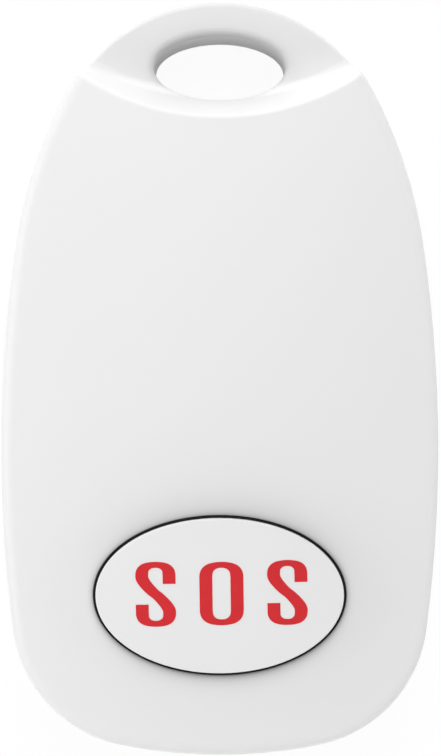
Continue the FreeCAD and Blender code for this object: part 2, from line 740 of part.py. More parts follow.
def front_shell():
    shell = cut("front_open", front_blank(), front_cavity())
    rebate = cavity_region(
        "seal_rebate", "lip_inset - lip_clearance", "lip_inset - lip_clearance",
        f"parting_height - {OVERRUN}", f"lip_height + seal_thickness + {OVERRUN}",
    )
    shell = cut("front_rebated", shell, rebate)
    shell = fuse("front_posted", shell, front_posts())
    bores = rods(
        "front_bore", HOUSING_SCREWS, "housing_screw_diameter + thread_clearance",
        "housing_screw_length + tip_clearance", "counterbore_depth",
    )
    bores += rods(
        "board_bore", BOARD_SCREWS, "small_screw_diameter + thread_clearance",
        "board_screw_length + tip_clearance", "board_height",
    )
    bores += rods(
        "frame_bore", FRAME_SCREWS, "small_screw_diameter + thread_clearance",
        "frame_screw_length + tip_clearance", FRAME_FOOT,
    )
    below_seat = f"seat_height - {OVERRUN}"
    opening = button_oval("button_opening", "0", below_seat, "crown_height")
    step = button_oval(
        "button_step", "cap_flange_reach + button_gap + boot_wall + boot_wall_gap",
        below_seat, f"rim_height - ({below_seat})",
    )
    flat = button_oval("seat_flat", "boot_reach + boot_wall_gap", below_seat, str(OVERRUN))
    shell = cut(
        "front_bored", shell, *bores, opening, step, flat, eyelet_cutter("front_eyelet")
    )
    shell = rounded(
        "front_shell", shell, size("eyelet_rim_radius"),
        lambda edge: on_eyelet(edge) and not level(edge, size("parting_height")),
    )
    return shell


def rear_shell():
    shell = outline_block("rear_body", "0", "0", "parting_height")
    shell = rounded(
        "rear_edge", shell, size("rear_edge_radius"), lambda edge: level(edge, 0)
    )
    shell = bevelled(
        "rear_parting", shell, size("parting_chamfer"),
        lambda edge: level(edge, size("parting_height")),
    )
    hollow = cavity_region(
        "rear_hollow", "shell_wall", "shell_wall", "floor_wall", "parting_height"
    )
    tongue = cut(
        "tongue",
        cavity_region(
            "tongue_outside", "lip_inset", "lip_inset",
            "parting_height - lip_root", "lip_height + lip_root",
        ),
        cavity_region(
            "tongue_inside", "shell_wall", "shell_wall", f"parting_height - lip_root - {OVERRUN}",
            f"lip_root + lip_height + 2 * {OVERRUN}",
        ),
    )
    shell = fuse("rear_tongued", cut("rear_open", shell, hollow), tongue)
    bosses = rods(
        "rear_boss", HOUSING_SCREWS, "rear_boss_diameter",
        "parting_height - floor_wall / 2", "floor_wall / 2",
    )
    legs = "cell_diameter + 2 * (clip_side_gap + clip_thickness + cell_rib_gap)"
    rib = cut(
        "cell_rib",
        rod(
            "cell_rib_outside", f"{legs} + 2 * cell_rib_wall",
            "floor_wall / 2 + cell_rib_height", "0", "cell_offset", "floor_wall / 2",
        ),
        rod("cell_rib_inside", legs, "parting_height", "0", "cell_offset", "floor_wall / 4"),
    )
    shell = fuse("rear_bossed", shell, *bosses, rib)
    heads = rods(
        "counterbore", HOUSING_SCREWS, "counterbore_diameter",
        f"counterbore_depth + {OVERRUN}", f"-{OVERRUN}",
    )
    holes = rods(
        "rear_hole", HOUSING_SCREWS, "housing_screw_diameter + screw_clearance",
        "2 * parting_height", f"-{OVERRUN}",
    )
    shell = cut("rear_bored", shell, *heads, *holes, eyelet_cutter("rear_eyelet"))
    return rounded(
        "rear_shell", shell, size("eyelet_rim_radius"),
        lambda edge: on_eyelet(edge) and level(edge, 0),
    )


def housing_seal():
    z = "parting_height + lip_height"
    return cut(
        "housing_seal",
        cavity_region("seal_outside", "lip_inset", "lip_inset", z, "seal_thickness"),
        cavity_region(
            "seal_inside", "shell_wall", "shell_wall", "parting_height",
            f"lip_height + seal_thickness + {OVERRUN}",
        ),
    )


def screw(name, x, y, foot, head_height, head_diameter, diameter, length):
    """A pan-head screw driven upwards, foot being the underside of the head's top."""
    seat = f"{foot} + {head_height}"
    head = f"{head_diameter} / 2"
    shank = f"{diameter} / 2"
    tip = f"{seat} + {length}"
    return turned(
        name,
        [
            ("0", foot),
            (f"{head} - head_bevel", foot),
            (head, f"{foot} + head_bevel"),
            (head, seat),
            (shank, seat),
            (shank, f"{tip} - screw_point"),
            (f"{shank} - screw_point", tip),
            ("0", tip),
        ],
        x, y,
    )


def screws(name, points, foot, head_height, head_diameter, diameter, length):
    return group(
        name,
        [
            screw(f"{name}_{number}", x, y, foot, head_height, head_diameter, diameter, length)
            for number, (x, y) in enumerate(points, start=1)
        ],
    )


def housing_screws():
    return screws(
        "housing_screws", HOUSING_SCREWS, "counterbore_depth - housing_head_height",
        "housing_head_height", "housing_head_diameter", "housing_screw_diameter",
        "housing_screw_length",
    )


def small_screws(name, points, seat, length):
    return screws(
        name, points, f"{seat} - small_head_height", "small_head_height",
        "small_head_diameter", "small_screw_diameter", length,
    )


def button_cap():
    """The oval cap: crowned like the front face, with a retaining flange and a foot."""
    plate = common(
        "cap_plate",
        button_oval("cap_side", "-button_gap", CAP_FLANGE_TOP, "crown_height"),
        crown("cap_top", "-button_proud"),
    )
    plate = rounded(
        "cap_plate_edge", plate, size("button_edge_radius"),
        lambda edge: all(on_crown(point, -size("button_proud")) for point in samples(edge)),
    )
    flange = button_oval(
        "cap_flange", "cap_flange_reach", f"{CAP_FLANGE_TOP} - cap_flange_thickness",
        "cap_flange_thickness",
    )
    hollow = common(
        "cap_hollow",
        button_oval("cap_hollow_side", "-button_gap - cap_rim", "seat_height", "crown_height"),
        crown("cap_hollow_top", "cap_roof - button_proud"),
    )
    foot = common(
        "cap_foot",
        oval(
            "cap_foot_side", "cap_foot_length", "cap_foot_width", BUTTON_CENTRE,
            "cap_foot_height", "crown_height",
        ),
        crown("cap_foot_top", "cap_roof / 2 - button_proud"),
    )
    return fuse(
        "button_cap",
        cut("cap_hollowed", fuse("cap_solid", plate, flange), hollow),
        foot,
    )


def button_boot():
    """The rubber boot: clamped flange, upright wall, web, pad and pip."""
    wall_inside = "cap_flange_reach + button_gap"
    wall_outside = f"{wall_inside} + boot_wall"
    web_foot = f"{BOOT_FOOT} + boot_web_rise"
    body = fuse(
        "boot_body",
        button_oval("boot_flange", "boot_reach", BOOT_FOOT, "boot_flange_thickness"),
        button_oval(
            "boot_wall_side", wall_outside, BOOT_FOOT, f"rim_height - boot_wall_gap - ({BOOT_FOOT})"
        ),
    )
    body = cut("boot_ring", body, button_oval("boot_inside", wall_inside, "0", "2 * crown_height"))
    web = button_oval("boot_web", "boot_wall", web_foot, "boot_web_thickness")
    pad = oval(
        "boot_pad", "boot_pad_length", "boot_pad_width", BUTTON_CENTRE, BOOT_FOOT,
        f"cap_foot_height - ({BOOT_FOOT})",
    )
    pip_foot = f"{BOARD_TOP} + plunger_height + boot_pip_gap"
    pip = rod(
        "boot_pip", "boot_pip_diameter", f"cap_foot_height - ({pip_foot})", "0",
        BUTTON_CENTRE, pip_foot,
    )
    return fuse("button_boot", body, web, pad, pip)


def boot_frame():
    ring = button_oval("frame_side", "boot_reach", FRAME_FOOT, "frame_thickness")
    ears = rods("frame_ear", FRAME_SCREWS, "frame_ear_diameter", "frame_thickness", FRAME_FOOT)
    bridge = block(
        "frame_bridge", "body_width - 2 * frame_screw_side", "frame_bridge_width",
        "frame_thickness", "0", BUTTON_CENTRE, FRAME_FOOT,
    )
    foot = f"{FRAME_FOOT} - {OVERRUN}"
    depth = f"frame_thickness + 2 * {OVERRUN}"
    window = button_oval("frame_window", "-frame_window_inset", foot, depth)
    bore = "small_screw_diameter + screw_clearance"
    holes = rods("frame_hole", FRAME_SCREWS, bore, depth, foot)
    return cut("boot_frame", fuse("frame_body", ring, bridge, *ears), window, *holes)


def circuit_board():
    board = cut(
        "board_plate",
        outline_block("board_block", "board_inset", "board_height", "board_thickness"),
        scoop_keep("board_keep", BOARD_KEEP),
    )
    foot = f"board_height - {OVERRUN}"
    depth = f"board_thickness + 2 * {OVERRUN}"
    notch = "front_boss_diameter + 2 * board_boss_gap"
    notches = rods("board_notch", HOUSING_SCREWS, notch, depth, foot)
    notches += [
        block(
            f"board_corner_{number}", notch, notch, depth,
            f"{x} {'+' if number % 2 else '-'} ({notch}) / 2", y, foot,
        )
        for number, (x, y) in enumerate(HOUSING_SCREWS, start=1)
    ]
    bore = "small_screw_diameter + screw_clearance"
    holes = rods("board_hole", BOARD_SCREWS, bore, depth, foot)
    holes += rods("pin_hole", PINS, "pin_diameter + pin_clearance", depth, foot)
    return cut("circuit_board", board, *notches, *holes)


def coin_cell():
    can_top = f"{CELL_TOP} - cell_cap_height"
    edge = "cell_diameter / 2"
    return turned(
        "coin_cell",
        [
            ("0", CELL_FOOT),
            (f"{edge} - cell_edge", CELL_FOOT),
            (edge, f"{CELL_FOOT} + cell_edge"),
            (edge, f"{can_top} - cell_edge / 2"),
            (f"{edge} - cell_edge / 2", can_top),
            (f"{edge} - cell_cap_inset", can_top),
            (f"{edge} - cell_cap_inset", f"{CELL_TOP} - cell_cap_height / 2"),
            (f"{edge} - cell_cap_inset - cell_cap_height / 2", CELL_TOP),
            ("0", CELL_TOP),
        ],
        "0", "cell_offset",
    )


def battery_contact():
    return turned(
        "battery_contact",
        [
            ("0", CELL_TOP),
            ("contact_diameter / 2", CELL_TOP),
            ("contact_diameter / 2", "board_height"),
            ("0", "board_height"),
        ],
        "0", "cell_offset",
    )


def battery_clip():
    """A sheet-metal strap under the cell with a leg and a soldered foot at each end."""
    leg = "cell_diameter / 2 + clip_side_gap + clip_thickness / 2"
    foot = f"{CELL_FOOT} - clip_thickness"
    pieces = [
        block(
            "clip_strap", "cell_diameter + 2 * (clip_side_gap + clip_thickness)", "clip_width",
            "clip_thickness", "0", "cell_offset", foot,
        )
    ]
    for side, sign in (("right", ""), ("left", "-")):
        pieces.append(
            block(
                f"clip_leg_{side}", "clip_thickness", "clip_width",
                f"board_height - ({foot})", f"{sign}({leg})", "cell_offset", foot,
            )
        )
        pieces.append(
            block(
                f"clip_foot_{side}", "clip_foot", "clip_width", "clip_thickness",
                f"{sign}({leg} + clip_thickness / 2 + clip_foot / 2)", "cell_offset",
                "board_height - clip_thickness",
            )
        )
    return fuse("battery_clip", *pieces)


def switch_base():
    base = block(
        "switch_block", "switch_side", "switch_side", "switch_base_height", "0",
        BUTTON_CENTRE, BOARD_TOP,
    )
    return cut(
        "switch_base", base,
        rod(
            "switch_hollow", "switch_bore", "switch_base_height", "0", BUTTON_CENTRE,
            f"{BOARD_TOP} + switch_floor",
        ),
    )


def switch_terminals():
    """Four legs bent down from the base to the board."""
    legs = []
    half = "switch_side / 2"
    for number, (x, y) in enumerate(((1, 1), (1, -1), (-1, 1), (-1, -1)), start=1):
        row = f"{BUTTON_CENTRE} + {y} * terminal_spread / 2"
        reach = "terminal_reach / 2"
        pieces = [
            block(
                f"terminal_{number}_root", reach, "terminal_width", "terminal_thickness",
                f"{x} * ({half} + {reach} / 2)", row, f"{BOARD_TOP} + terminal_rise",
            ),
            block(
                f"terminal_{number}_drop", "terminal_thickness", "terminal_width",
                "terminal_rise + terminal_thickness",
                f"{x} * ({half} + {reach} - terminal_thickness / 2)", row, BOARD_TOP,
            ),
            block(
                f"terminal_{number}_foot", reach, "terminal_width", "terminal_thickness",
                f"{x} * ({half} + {reach} * 1.5)", row, BOARD_TOP,
            ),
        ]
        legs.append(fuse(f"terminal_{number}", *pieces))
    return group("switch_terminals", legs)


def switch_dome():
    """A shallow sheet dome standing on its rim in the bore of the base."""
    radius = "(dome_diameter * dome_diameter / 4 + dome_rise * dome_rise) / (2 * dome_rise)"
    centre = f"{BOARD_TOP} + switch_floor + dome_rise - ({radius})"
    spheres = []
    for name, ball in (("dome_outside", radius), ("dome_inside", f"{radius} - dome_thickness")):
        sphere = doc.addObject("Part::Sphere", name)
        bind(sphere, Radius=ball)
        spheres.append(place(sphere, y=BUTTON_CENTRE, z=centre))
    return common(
        "switch_dome", cut("dome_sheet", *spheres),
        rod(
            "dome_blank", "dome_diameter", "2 * dome_rise", "0", BUTTON_CENTRE,
            f"{BOARD_TOP} + switch_floor",
        ),
    )


def switch_plunger():
    top = f"{BOARD_TOP} + plunger_height"
    flange_top = f"{BOARD_TOP} + switch_base_height - plunger_play"
    flange_foot = f"{flange_top} - plunger_flange_height"
    nub_foot = f"{BOARD_TOP} + switch_floor + dome_rise"
    return turned(
        "switch_plunger",
        [
            ("0", nub_foot),
            ("nub_diameter / 2", nub_foot),
            ("nub_diameter / 2", flange_foot),
            ("plunger_flange_diameter / 2", flange_foot),
            ("plunger_flange_diameter / 2", flange_top),
            ("plunger_diameter / 2", flange_top),
            ("plunger_diameter / 2", f"{top} - plunger_edge"),
            ("plunger_diameter / 2 - plunger_edge", top),
            ("0", top),
        ],
        "0", BUTTON_CENTRE,
    )


def switch_cover():
    """A sheet cover on the base with a plunger hole and two side tabs bent down."""
    foot = f"{BOARD_TOP} + switch_base_height"
    plate = block(
        "cover_plate", "switch_side", "switch_side + 2 * cover_thickness", "cover_thickness",
        "0", BUTTON_CENTRE, foot,
    )
    tabs = [
        block(
            f"cover_tab_{number}", "cover_tab_width", "cover_thickness",
            "cover_tab_height + cover_thickness", "0",
            f"{BUTTON_CENTRE} + {sign} * (switch_side + cover_thickness) / 2",
            f"{foot} - cover_tab_height",
        )
        for number, sign in enumerate((1, -1), start=1)
    ]
    hole = rod(
        "cover_bore", "cover_hole", "3 * cover_thickness", "0", BUTTON_CENTRE,
        f"{foot} - cover_thickness",
    )
    return cut("switch_cover", fuse("cover_sheet", plate, *tabs), hole)


def chip(name, length, width, height, x, y):
    return block(name, length, width, height, x, y, BOARD_TOP)


def chips(name, count, length, width, height, pitch, x, y):
    """A row of alike chips along the board."""
    return group(
        name,
        [
            chip(f"{name}_{number}", length, width, height, x, f"{y} + {number} * {pitch}")
            for number in range(count)
        ],
    )


def bend(name, x, y, z, turn):
    """A quarter of a ring of wire standing across the fob."""
    ring = doc.addObject("Part::Torus", name)
    bind(ring, Radius1="antenna_bend", Radius2="antenna_wire / 2")
    ring.Angle3 = 90
    upright = FreeCAD.Rotation(FreeCAD.Vector(1, 0, 0), 90)
    ring.Placement.Rotation = upright * FreeCAD.Rotation(UP, turn)
    return place(ring, x, y, z)


def loop_antenna():
    """A wire arch standing on the board near its upper end."""
    row = f"{SCOOP_CENTRE} - ({BOARD_KEEP}) - antenna_inset"
    top = f"{BOARD_TOP} + antenna_rise"
    half = "antenna_span / 2"
    pieces = [
        rod(
            f"antenna_leg_{number}", "antenna_wire", "antenna_rise - antenna_bend",
            f"{sign} * {half}", row, BOARD_TOP,
        )
        for number, sign in enumerate((1, -1), start=1)
    ]
    pieces += [
        bend("antenna_bend_right", f"{half} - antenna_bend", row, f"{top} - antenna_bend", 0),
        bend("antenna_bend_left", f"antenna_bend - {half}", row, f"{top} - antenna_bend", 90),
    ]
    bar = doc.addObject("Part::Cylinder", "antenna_bar")
    bind(bar, Radius="antenna_wire / 2", Height="antenna_span - 2 * antenna_bend")
    bar.Placement.Rotation = FreeCAD.Rotation(FreeCAD.Vector(0, 1, 0), 90)
    place(bar, f"antenna_bend - {half}", row, top)
    return fuse("loop_antenna", *pieces, bar)


PARTS = (
    front_shell(),
    rear_shell(),
    housing_seal(),
    housing_screws(),
    button_cap(),
    button_boot(),
    boot_frame(),
    small_screws("frame_screws", FRAME_SCREWS, FRAME_FOOT, "frame_screw_length"),
    circuit_board(),
    small_screws("board_screws", BOARD_SCREWS, "board_height", "board_screw_length"),
    switch_base(),
    switch_terminals(),
    switch_dome(),
    switch_plunger(),
    switch_cover(),
    coin_cell(),
    battery_clip(),
    battery_contact(),
    chip(
        "controller_chip", "controller_side", "controller_side", "controller_height",
        "-controller_across", "controller_along",
    ),
    chip(
        "transmitter_chip", "transmitter_side", "transmitter_side", "transmitter_height",
        "transmitter_across", "transmitter_along",
    ),
    chip(
        "quartz_crystal", "crystal_length", "crystal_width", "crystal_height",
        "crystal_across", "crystal_along",
    ),
    loop_antenna(),
    chips(
        "chip_resistors", RESISTORS, "resistor_length", "resistor_width", "resistor_height",
        "resistor_pitch", "-resistor_across", "-resistor_along",
    ),
    chips(
        "chip_capacitors", CAPACITORS, "capacitor_length", "capacitor_width",
        "capacitor_height", "capacitor_pitch", "capacitor_across", "-capacitor_along",
    ),
)

doc.recompute()
for item in doc.Objects:
    if "Invalid" in item.State or "Error" in item.State:
        raise RuntimeError(f"{item.Name}: {item.State}")
os.makedirs("parts", exist_ok=True)
for part in PARTS:
    if part.Shape.isNull() or not part.Shape.isValid():
        raise RuntimeError(f"{part.Name} has no valid shape")
    part.Shape.exportStep(f"parts/{part.Label}.step")
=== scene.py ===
from functools import partial
import math

import bmesh
import bpy
from bpy.props import FloatProperty, FloatVectorProperty, IntProperty, PointerProperty
from bpy.types import Operator, Panel, PropertyGroup
from mathutils import Matrix, Vector
from mathutils.bvhtree import BVHTree


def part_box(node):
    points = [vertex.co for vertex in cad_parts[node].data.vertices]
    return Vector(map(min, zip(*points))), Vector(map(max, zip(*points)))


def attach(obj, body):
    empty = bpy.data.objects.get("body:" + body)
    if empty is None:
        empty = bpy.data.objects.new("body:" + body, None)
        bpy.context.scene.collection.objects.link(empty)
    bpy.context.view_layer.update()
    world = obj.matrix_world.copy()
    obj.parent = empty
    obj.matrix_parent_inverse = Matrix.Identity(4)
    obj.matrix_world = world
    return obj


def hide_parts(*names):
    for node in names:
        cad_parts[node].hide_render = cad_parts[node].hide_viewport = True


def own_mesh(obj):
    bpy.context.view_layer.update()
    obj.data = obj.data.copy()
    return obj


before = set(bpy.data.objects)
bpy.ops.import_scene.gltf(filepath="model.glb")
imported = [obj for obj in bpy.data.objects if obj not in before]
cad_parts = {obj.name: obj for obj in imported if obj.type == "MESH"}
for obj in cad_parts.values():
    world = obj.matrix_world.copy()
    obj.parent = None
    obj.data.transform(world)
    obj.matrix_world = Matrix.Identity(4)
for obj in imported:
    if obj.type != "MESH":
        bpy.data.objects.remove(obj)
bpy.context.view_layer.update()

bl_info = {
    "name": "Call fob",
    "version": (1, 0, 0),
    "blender": (4, 5, 0),
    "location": "View3D > Sidebar > Fob",
    "description": "Dresses a pendant call button with an oval cap",
    "category": "Object",
}

MM = 0.001
UPRIGHT = (0, 0, 1)
DOWN = Vector((0, 0, -1))


def length(name, default, description):
    """A setting in millimetres."""
    return FloatProperty(name=name, default=default, description=description, precision=3)


def share(name, default, description):
    """A setting that is a share of something, or a plain factor."""
    return FloatProperty(
        name=name, default=default, description=description, subtype="FACTOR", precision=3
    )


class LegendSettings(PropertyGroup):
    """The red lettering on the cap, in millimetres."""

    round_size: FloatVectorProperty(
        name="O", size=2, default=(3.43, 4.97), description="Width and height of the O"
    )
    curl_size: FloatVectorProperty(
        name="S", size=2, default=(3.14, 5.09), description="Width and height of an S"
    )
    pitch: length("Pitch", 5.13, "From one letter's middle to the next")
    stem: length("Stem", 1.01, "Width of the upright strokes")
    bar: length("Bar", 0.46, "Width of the level strokes")
    taper: share("Taper", 3.2, "How late a turning stroke thins")
    centre: FloatVectorProperty(
        name="Centre", size=2, default=(0.14, 0.22), description="Middle of the word on the cap"
    )
    film: length("Ink", 0.02, "Thickness of the printed ink")
    slope: FloatProperty(name="Slope", default=0.82, description="Rise of the word, in degrees")
    steps: IntProperty(name="Steps", default=120, description="Divisions along a stroke")
    columns: IntProperty(name="Columns", default=6, description="Divisions across a stroke")
    ink: FloatVectorProperty(
        name="Ink", subtype="COLOR", size=3, default=(0.635, 0.033, 0.039), description="Colour"
    )


class ShellSettings(PropertyGroup):
    """The white mouldings, and the painted shade and painted light in their colour."""

    colour: FloatVectorProperty(
        name="Colour", subtype="COLOR", size=3, default=(0.80, 0.80, 0.80),
        description="Moulded plastic",
    )
    roughness: share("Roughness", 0.5, "Of the plastic")
    gloss: share("Gloss", 0.25, "Specular level of the plastic")
    # Painted shade round the button: the rim and halo settings grey the face's colour where shade
    # falls beside the raised cap.
    rim_painted_shade: share("Rim", 0.6, "Greying at the button's rim")
    rim_shade_reach: length("Rim reach", 0.19, "Distance over which the rim's greying fades")
    halo_painted_shade: share("Halo", 0.092, "Greying round the button")
    halo_shade_reach: length("Halo reach", 3.2, "Distance over which the halo fades")
    # Painted shade in and round the eyelet: the colour greys where shade falls on its rounded rim
    # and inner wall.
    hole_painted_shade: share("Hole", 0.18, "Greying in and round the eyelet")
    hole_shade_reach: length("Hole reach", 0.6, "Distance over which the eyelet's greying fades")
    hole_centre: length("Hole centre", 24.7, "Middle of the fob to the middle of the eyelet")
    hole_wide: length("Hole width", 5.25, "Half the eyelet across the fob")
    hole_high: length("Hole height", 2.6, "Half the eyelet along the fob")
    # Painted light: the scoop's wall is made lighter in colour where light falls on it; the
    # settings below place that patch.
    wall_painted_light: share("Wall", 0.12, "Lightening of the scoop's wall")
    wall_axis: length("Wall axis", 43.3, "Middle of the fob to the axis of the scoop")
    wall_start: length("Wall start", 18.7, "Radius of the leaning wall, drawn on to the rear face")
    wall_lean: share("Wall lean", 0.36, "Growth of that radius with height")
    foot_axis: length("Foot axis", 53.7, "Middle of the fob to the centre of the wall's foot")
    foot_radius: length("Foot radius", 30.5, "Radius of the wall's foot")


class BootSettings(PropertyGroup):
    """The rubber boot under the cap and the wiper ring round it, in millimetres."""

    flange: length("Flange", 1.1, "Boot flange beyond the button's opening")
    pad: FloatVectorProperty(
        name="Pad", size=2, default=(5.5, 3.0), description="Half sizes of the pad"
    )
    pip: length("Pip", 1.4, "Radius of the pip over the switch")
    gap: length("Gap", 0.25, "Cap to the edge of its opening")
    slack: length("Slack", 0.02, "Gap ring to the cap and to the opening")
    foot: length("Foot", 11.05, "Rear face to the foot of the gap ring")
    brim: length("Brim", 0.3, "Beyond the opening, where the front face is measured")
    sunk: length("Sunk", 0.22, "Front face to the top of the gap ring")
    segments: IntProperty(name="Segments", default=128, description="Divisions round the oval")


class ScrewSettings(PropertyGroup):
    """Screws with a thread and a cross recess, in millimetres."""

    pitch: length("Pitch", 0.6, "Thread pitch of the housing screws")
    small_pitch: length("Small pitch", 0.4, "Thread pitch of the small screws")
    segments: IntProperty(name="Segments", default=40, description="Divisions round a screw")


class DomeSettings(PropertyGroup):
    """The snap dome of the switch, in millimetres."""

    sheet: length("Sheet", 0.08, "Thickness of the dome")
    stroke: length("Stroke", 0.3, "Travel of the plunger on the dome")
    rings: IntProperty(name="Rings", default=10, description="Divisions from the middle to the rim")
    segments: IntProperty(name="Segments", default=64, description="Divisions round the dome")


class SolderSettings(PropertyGroup):
    """Solder and metal ends on the circuit board, in millimetres."""

    width: length("Width", 0.26, "Joint along the side of a chip")
    reach: length("Reach", 0.2, "Joint beyond the side of a chip")
    rise: length("Rise", 0.24, "Joint above the board")
    metal: length("Metal", 0.2, "Metal end of a resistor or capacitor")
    proud: length("Proud", 0.015, "Metal end outside the body")
    controller: IntProperty(name="Controller", default=8, description="Joints on a side of it")
    controller_pitch: length("Controller pitch", 0.5, "Between its joints")
    transmitter: IntProperty(name="Transmitter", default=5, description="Joints on a side of it")
    transmitter_pitch: length("Transmitter pitch", 0.65, "Between its joints")


class StageSettings(PropertyGroup):
    """Camera, floor and lights, in millimetres."""

    distance: length("Distance", 220.0, "Camera above the middle of the picture")
    target: FloatVectorProperty(
        name="Target", size=3, default=(0.06, -0.19, 5.0), description="Middle of the picture"
    )
    field: length("Field", 61.16, "Height of the picture at its middle")
    sensor: length("Sensor", 36.0, "Height of the camera's sensor")
    near: length("Near", 10.0, "Nearest distance that the camera shows")
    floor: length("Floor", 3000.0, "Half the side of the floor")


def material(name, colour, roughness, metallic=0.0):
    """A new Principled material and its shader node."""
    made = bpy.data.materials.new(name)
    made.use_nodes = True
    shader = made.node_tree.nodes["Principled BSDF"]
    shader.inputs["Base Color"].default_value = (*colour, 1)
    shader.inputs["Roughness"].default_value = roughness
    shader.inputs["Metallic"].default_value = metallic
    return made, shader


def noise(tree, scale, detail=3.0):
    """A noise texture in object coordinates, scale in waves per metre."""
    place = tree.nodes.new("ShaderNodeTexCoord")
    texture = tree.nodes.new("ShaderNodeTexNoise")
    texture.inputs["Scale"].default_value = scale
    texture.inputs["Detail"].default_value = detail
    tree.links.new(place.outputs["Object"], texture.inputs["Vector"])
    return texture.outputs["Fac"]


# Part of the noise over which the colour goes from dark to light, and how far the gloss wanders.
MOTTLE_SPAN = (0.3, 0.7)
GLOSS_SPREAD = 0.1


def mottle(made, shader, colour, amount, scale):
    """Lightens and darkens the colour a little from place to place."""
    tree = made.node_tree
    ramp = tree.nodes.new("ShaderNodeValToRGB")
    low, high = ramp.color_ramp.elements
    low.position, high.position = MOTTLE_SPAN
    low.color = (*(max(0.0, c * (1 - amount)) for c in colour), 1)
    high.color = (*(min(1.0, c * (1 + amount)) for c in colour), 1)
    tree.links.new(noise(tree, scale), ramp.inputs["Fac"])
    tree.links.new(ramp.outputs["Color"], shader.inputs["Base Color"])


def grain(made, shader, depth, scale):
    """Fine relief, depth in millimetres."""
    tree = made.node_tree
    bump = tree.nodes.new("ShaderNodeBump")
    bump.inputs["Distance"].default_value = depth * MM
    tree.links.new(noise(tree, scale, 2.0), bump.inputs["Height"])
    tree.links.new(bump.outputs["Normal"], shader.inputs["Normal"])


def uneven_gloss(made, shader, roughness, scale):
    """Roughness that wanders a little about its value."""
    tree = made.node_tree
    spread = tree.nodes.new("ShaderNodeMapRange")
    spread.inputs["To Min"].default_value = roughness * (1 - GLOSS_SPREAD)
    spread.inputs["To Max"].default_value = roughness * (1 + GLOSS_SPREAD)
    tree.links.new(noise(tree, scale), spread.inputs["Value"])
    tree.links.new(spread.outputs["Result"], shader.inputs["Roughness"])


def finish(name, colour, roughness, metallic=0.0, tint=0.02, patch=120, depth=0.004, fine=4000):
    """A material with a mottled colour, uneven gloss and a fine grain.

    tint is the share by which the colour wanders, patch and fine are the waves per metre of the
    mottling and of the grain, and depth is the grain's depth in millimetres.
    """
    made, shader = material(name, colour, roughness, metallic)
    mottle(made, shader, colour, tint, patch)
    grain(made, shader, depth, fine)
    uneven_gloss(made, shader, roughness, patch * 2)
    return made


def coat_nodes(made, *nodes):
    """Gives CAD nodes that material all over."""
    for node in nodes:
        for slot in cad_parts[node].material_slots:
            slot.material = made


def piece(name, bm, made, smooth=60):
    """Turns a bmesh into an object, shaded smooth below that angle in degrees."""
    bmesh.ops.recalc_face_normals(bm, faces=bm.faces)
    mesh = bpy.data.meshes.new(name)
    bm.to_mesh(mesh)
    bm.free()
    obj = bpy.data.objects.new(name, mesh)
    bpy.context.collection.objects.link(obj)
    mesh.materials.append(made)
    mesh.shade_smooth()
    mesh.set_sharp_from_angle(angle=math.radians(smooth))
    return obj


def drop(surface, spot):
    """Height at which a plumb line through spot meets a surface from above, in metres."""
    return surface.ray_cast(Vector((spot.x, spot.y, 1.0)), DOWN)[0].z


# The arch of a letter: its height in half widths, and the power that makes it a little square.
ARCH = 0.8
SQUARENESS = 0.92
# An S: where its hook ends and its spine begins, how far the spine drops straight first, all in
# half heights, and the last bend's pull towards the middle, in half widths.
HOOK = 0.35
BEND = 0.6
DROP = 0.145
PULL = (0.425, 0.34)
# Share of the whole line on each side of a point, between which its direction is taken.
NUDGE = 0.001
# The ink's underside above the cap, in millimetres.
UNDER_INK = 0.001
# Distance within which the two ends of an O are welded, in metres.
WELD = 1e-7


def stretch(t, *stages):
    """Which stage a share t of the whole falls in, and how far into it. Stages are lengths."""
    reach = t * sum(stages)
    for index, span in enumerate(stages):
        if reach <= span or index == len(stages) - 1:
            return index, reach / span
        reach -= span


def over_arch(part, across, foot):
    """A point on a slightly square half ellipse from (across, foot) over to (-across, foot)."""
    level = math.cos(math.pi * part)
    lift = math.sin(math.pi * part)
    reach = math.copysign(abs(level) ** SQUARENESS, level)
    return Vector((across * reach, foot + ARCH * across * abs(lift) ** SQUARENESS))


def o_line(t, across, up):
    """A point on the middle line of an O: two uprights joined by half ellipses."""
    rise = up - ARCH * across
    turn = math.pi * across * (1 + ARCH) / 2
    index, part = stretch(t, rise, turn, 2 * rise, turn, rise)
    if index == 0:
        return Vector((across, rise * part))
    if index == 1:
        return over_arch(part, across, rise)
    if index == 2:
        return Vector((-across, rise * (1 - 2 * part)))
    if index == 3:
        return -over_arch(part, across, rise)
    return Vector((across, rise * (part - 1)))


def s_line(t, across, up):
    """A point on the middle line of an S, from the upper terminal to the lower one."""
    if t > 0.5:
        return -s_line(1 - t, across, up)
    rise = up - ARCH * across
    hook = up * HOOK
    bend = up * BEND
    turn = math.pi * across * (1 + ARCH) / 2
    index, part = stretch(2 * t, rise - hook, turn, rise - bend, math.hypot(across, bend))
    if index == 0:
        return Vector((across, hook + (rise - hook) * part))
    if index == 1:
        return over_arch(part, across, rise)
    if index == 2:
        return Vector((-across, rise + (bend - rise) * part))
    pulls = [
        Vector((-across, bend)), Vector((-across, bend - up * DROP)),
        Vector((-across * PULL[0], across * PULL[1])), Vector((0, 0)),
    ]
    while len(pulls) > 1:
        pulls = [near.lerp(far, part) for near, far in zip(pulls, pulls[1:])]
    return pulls[0]


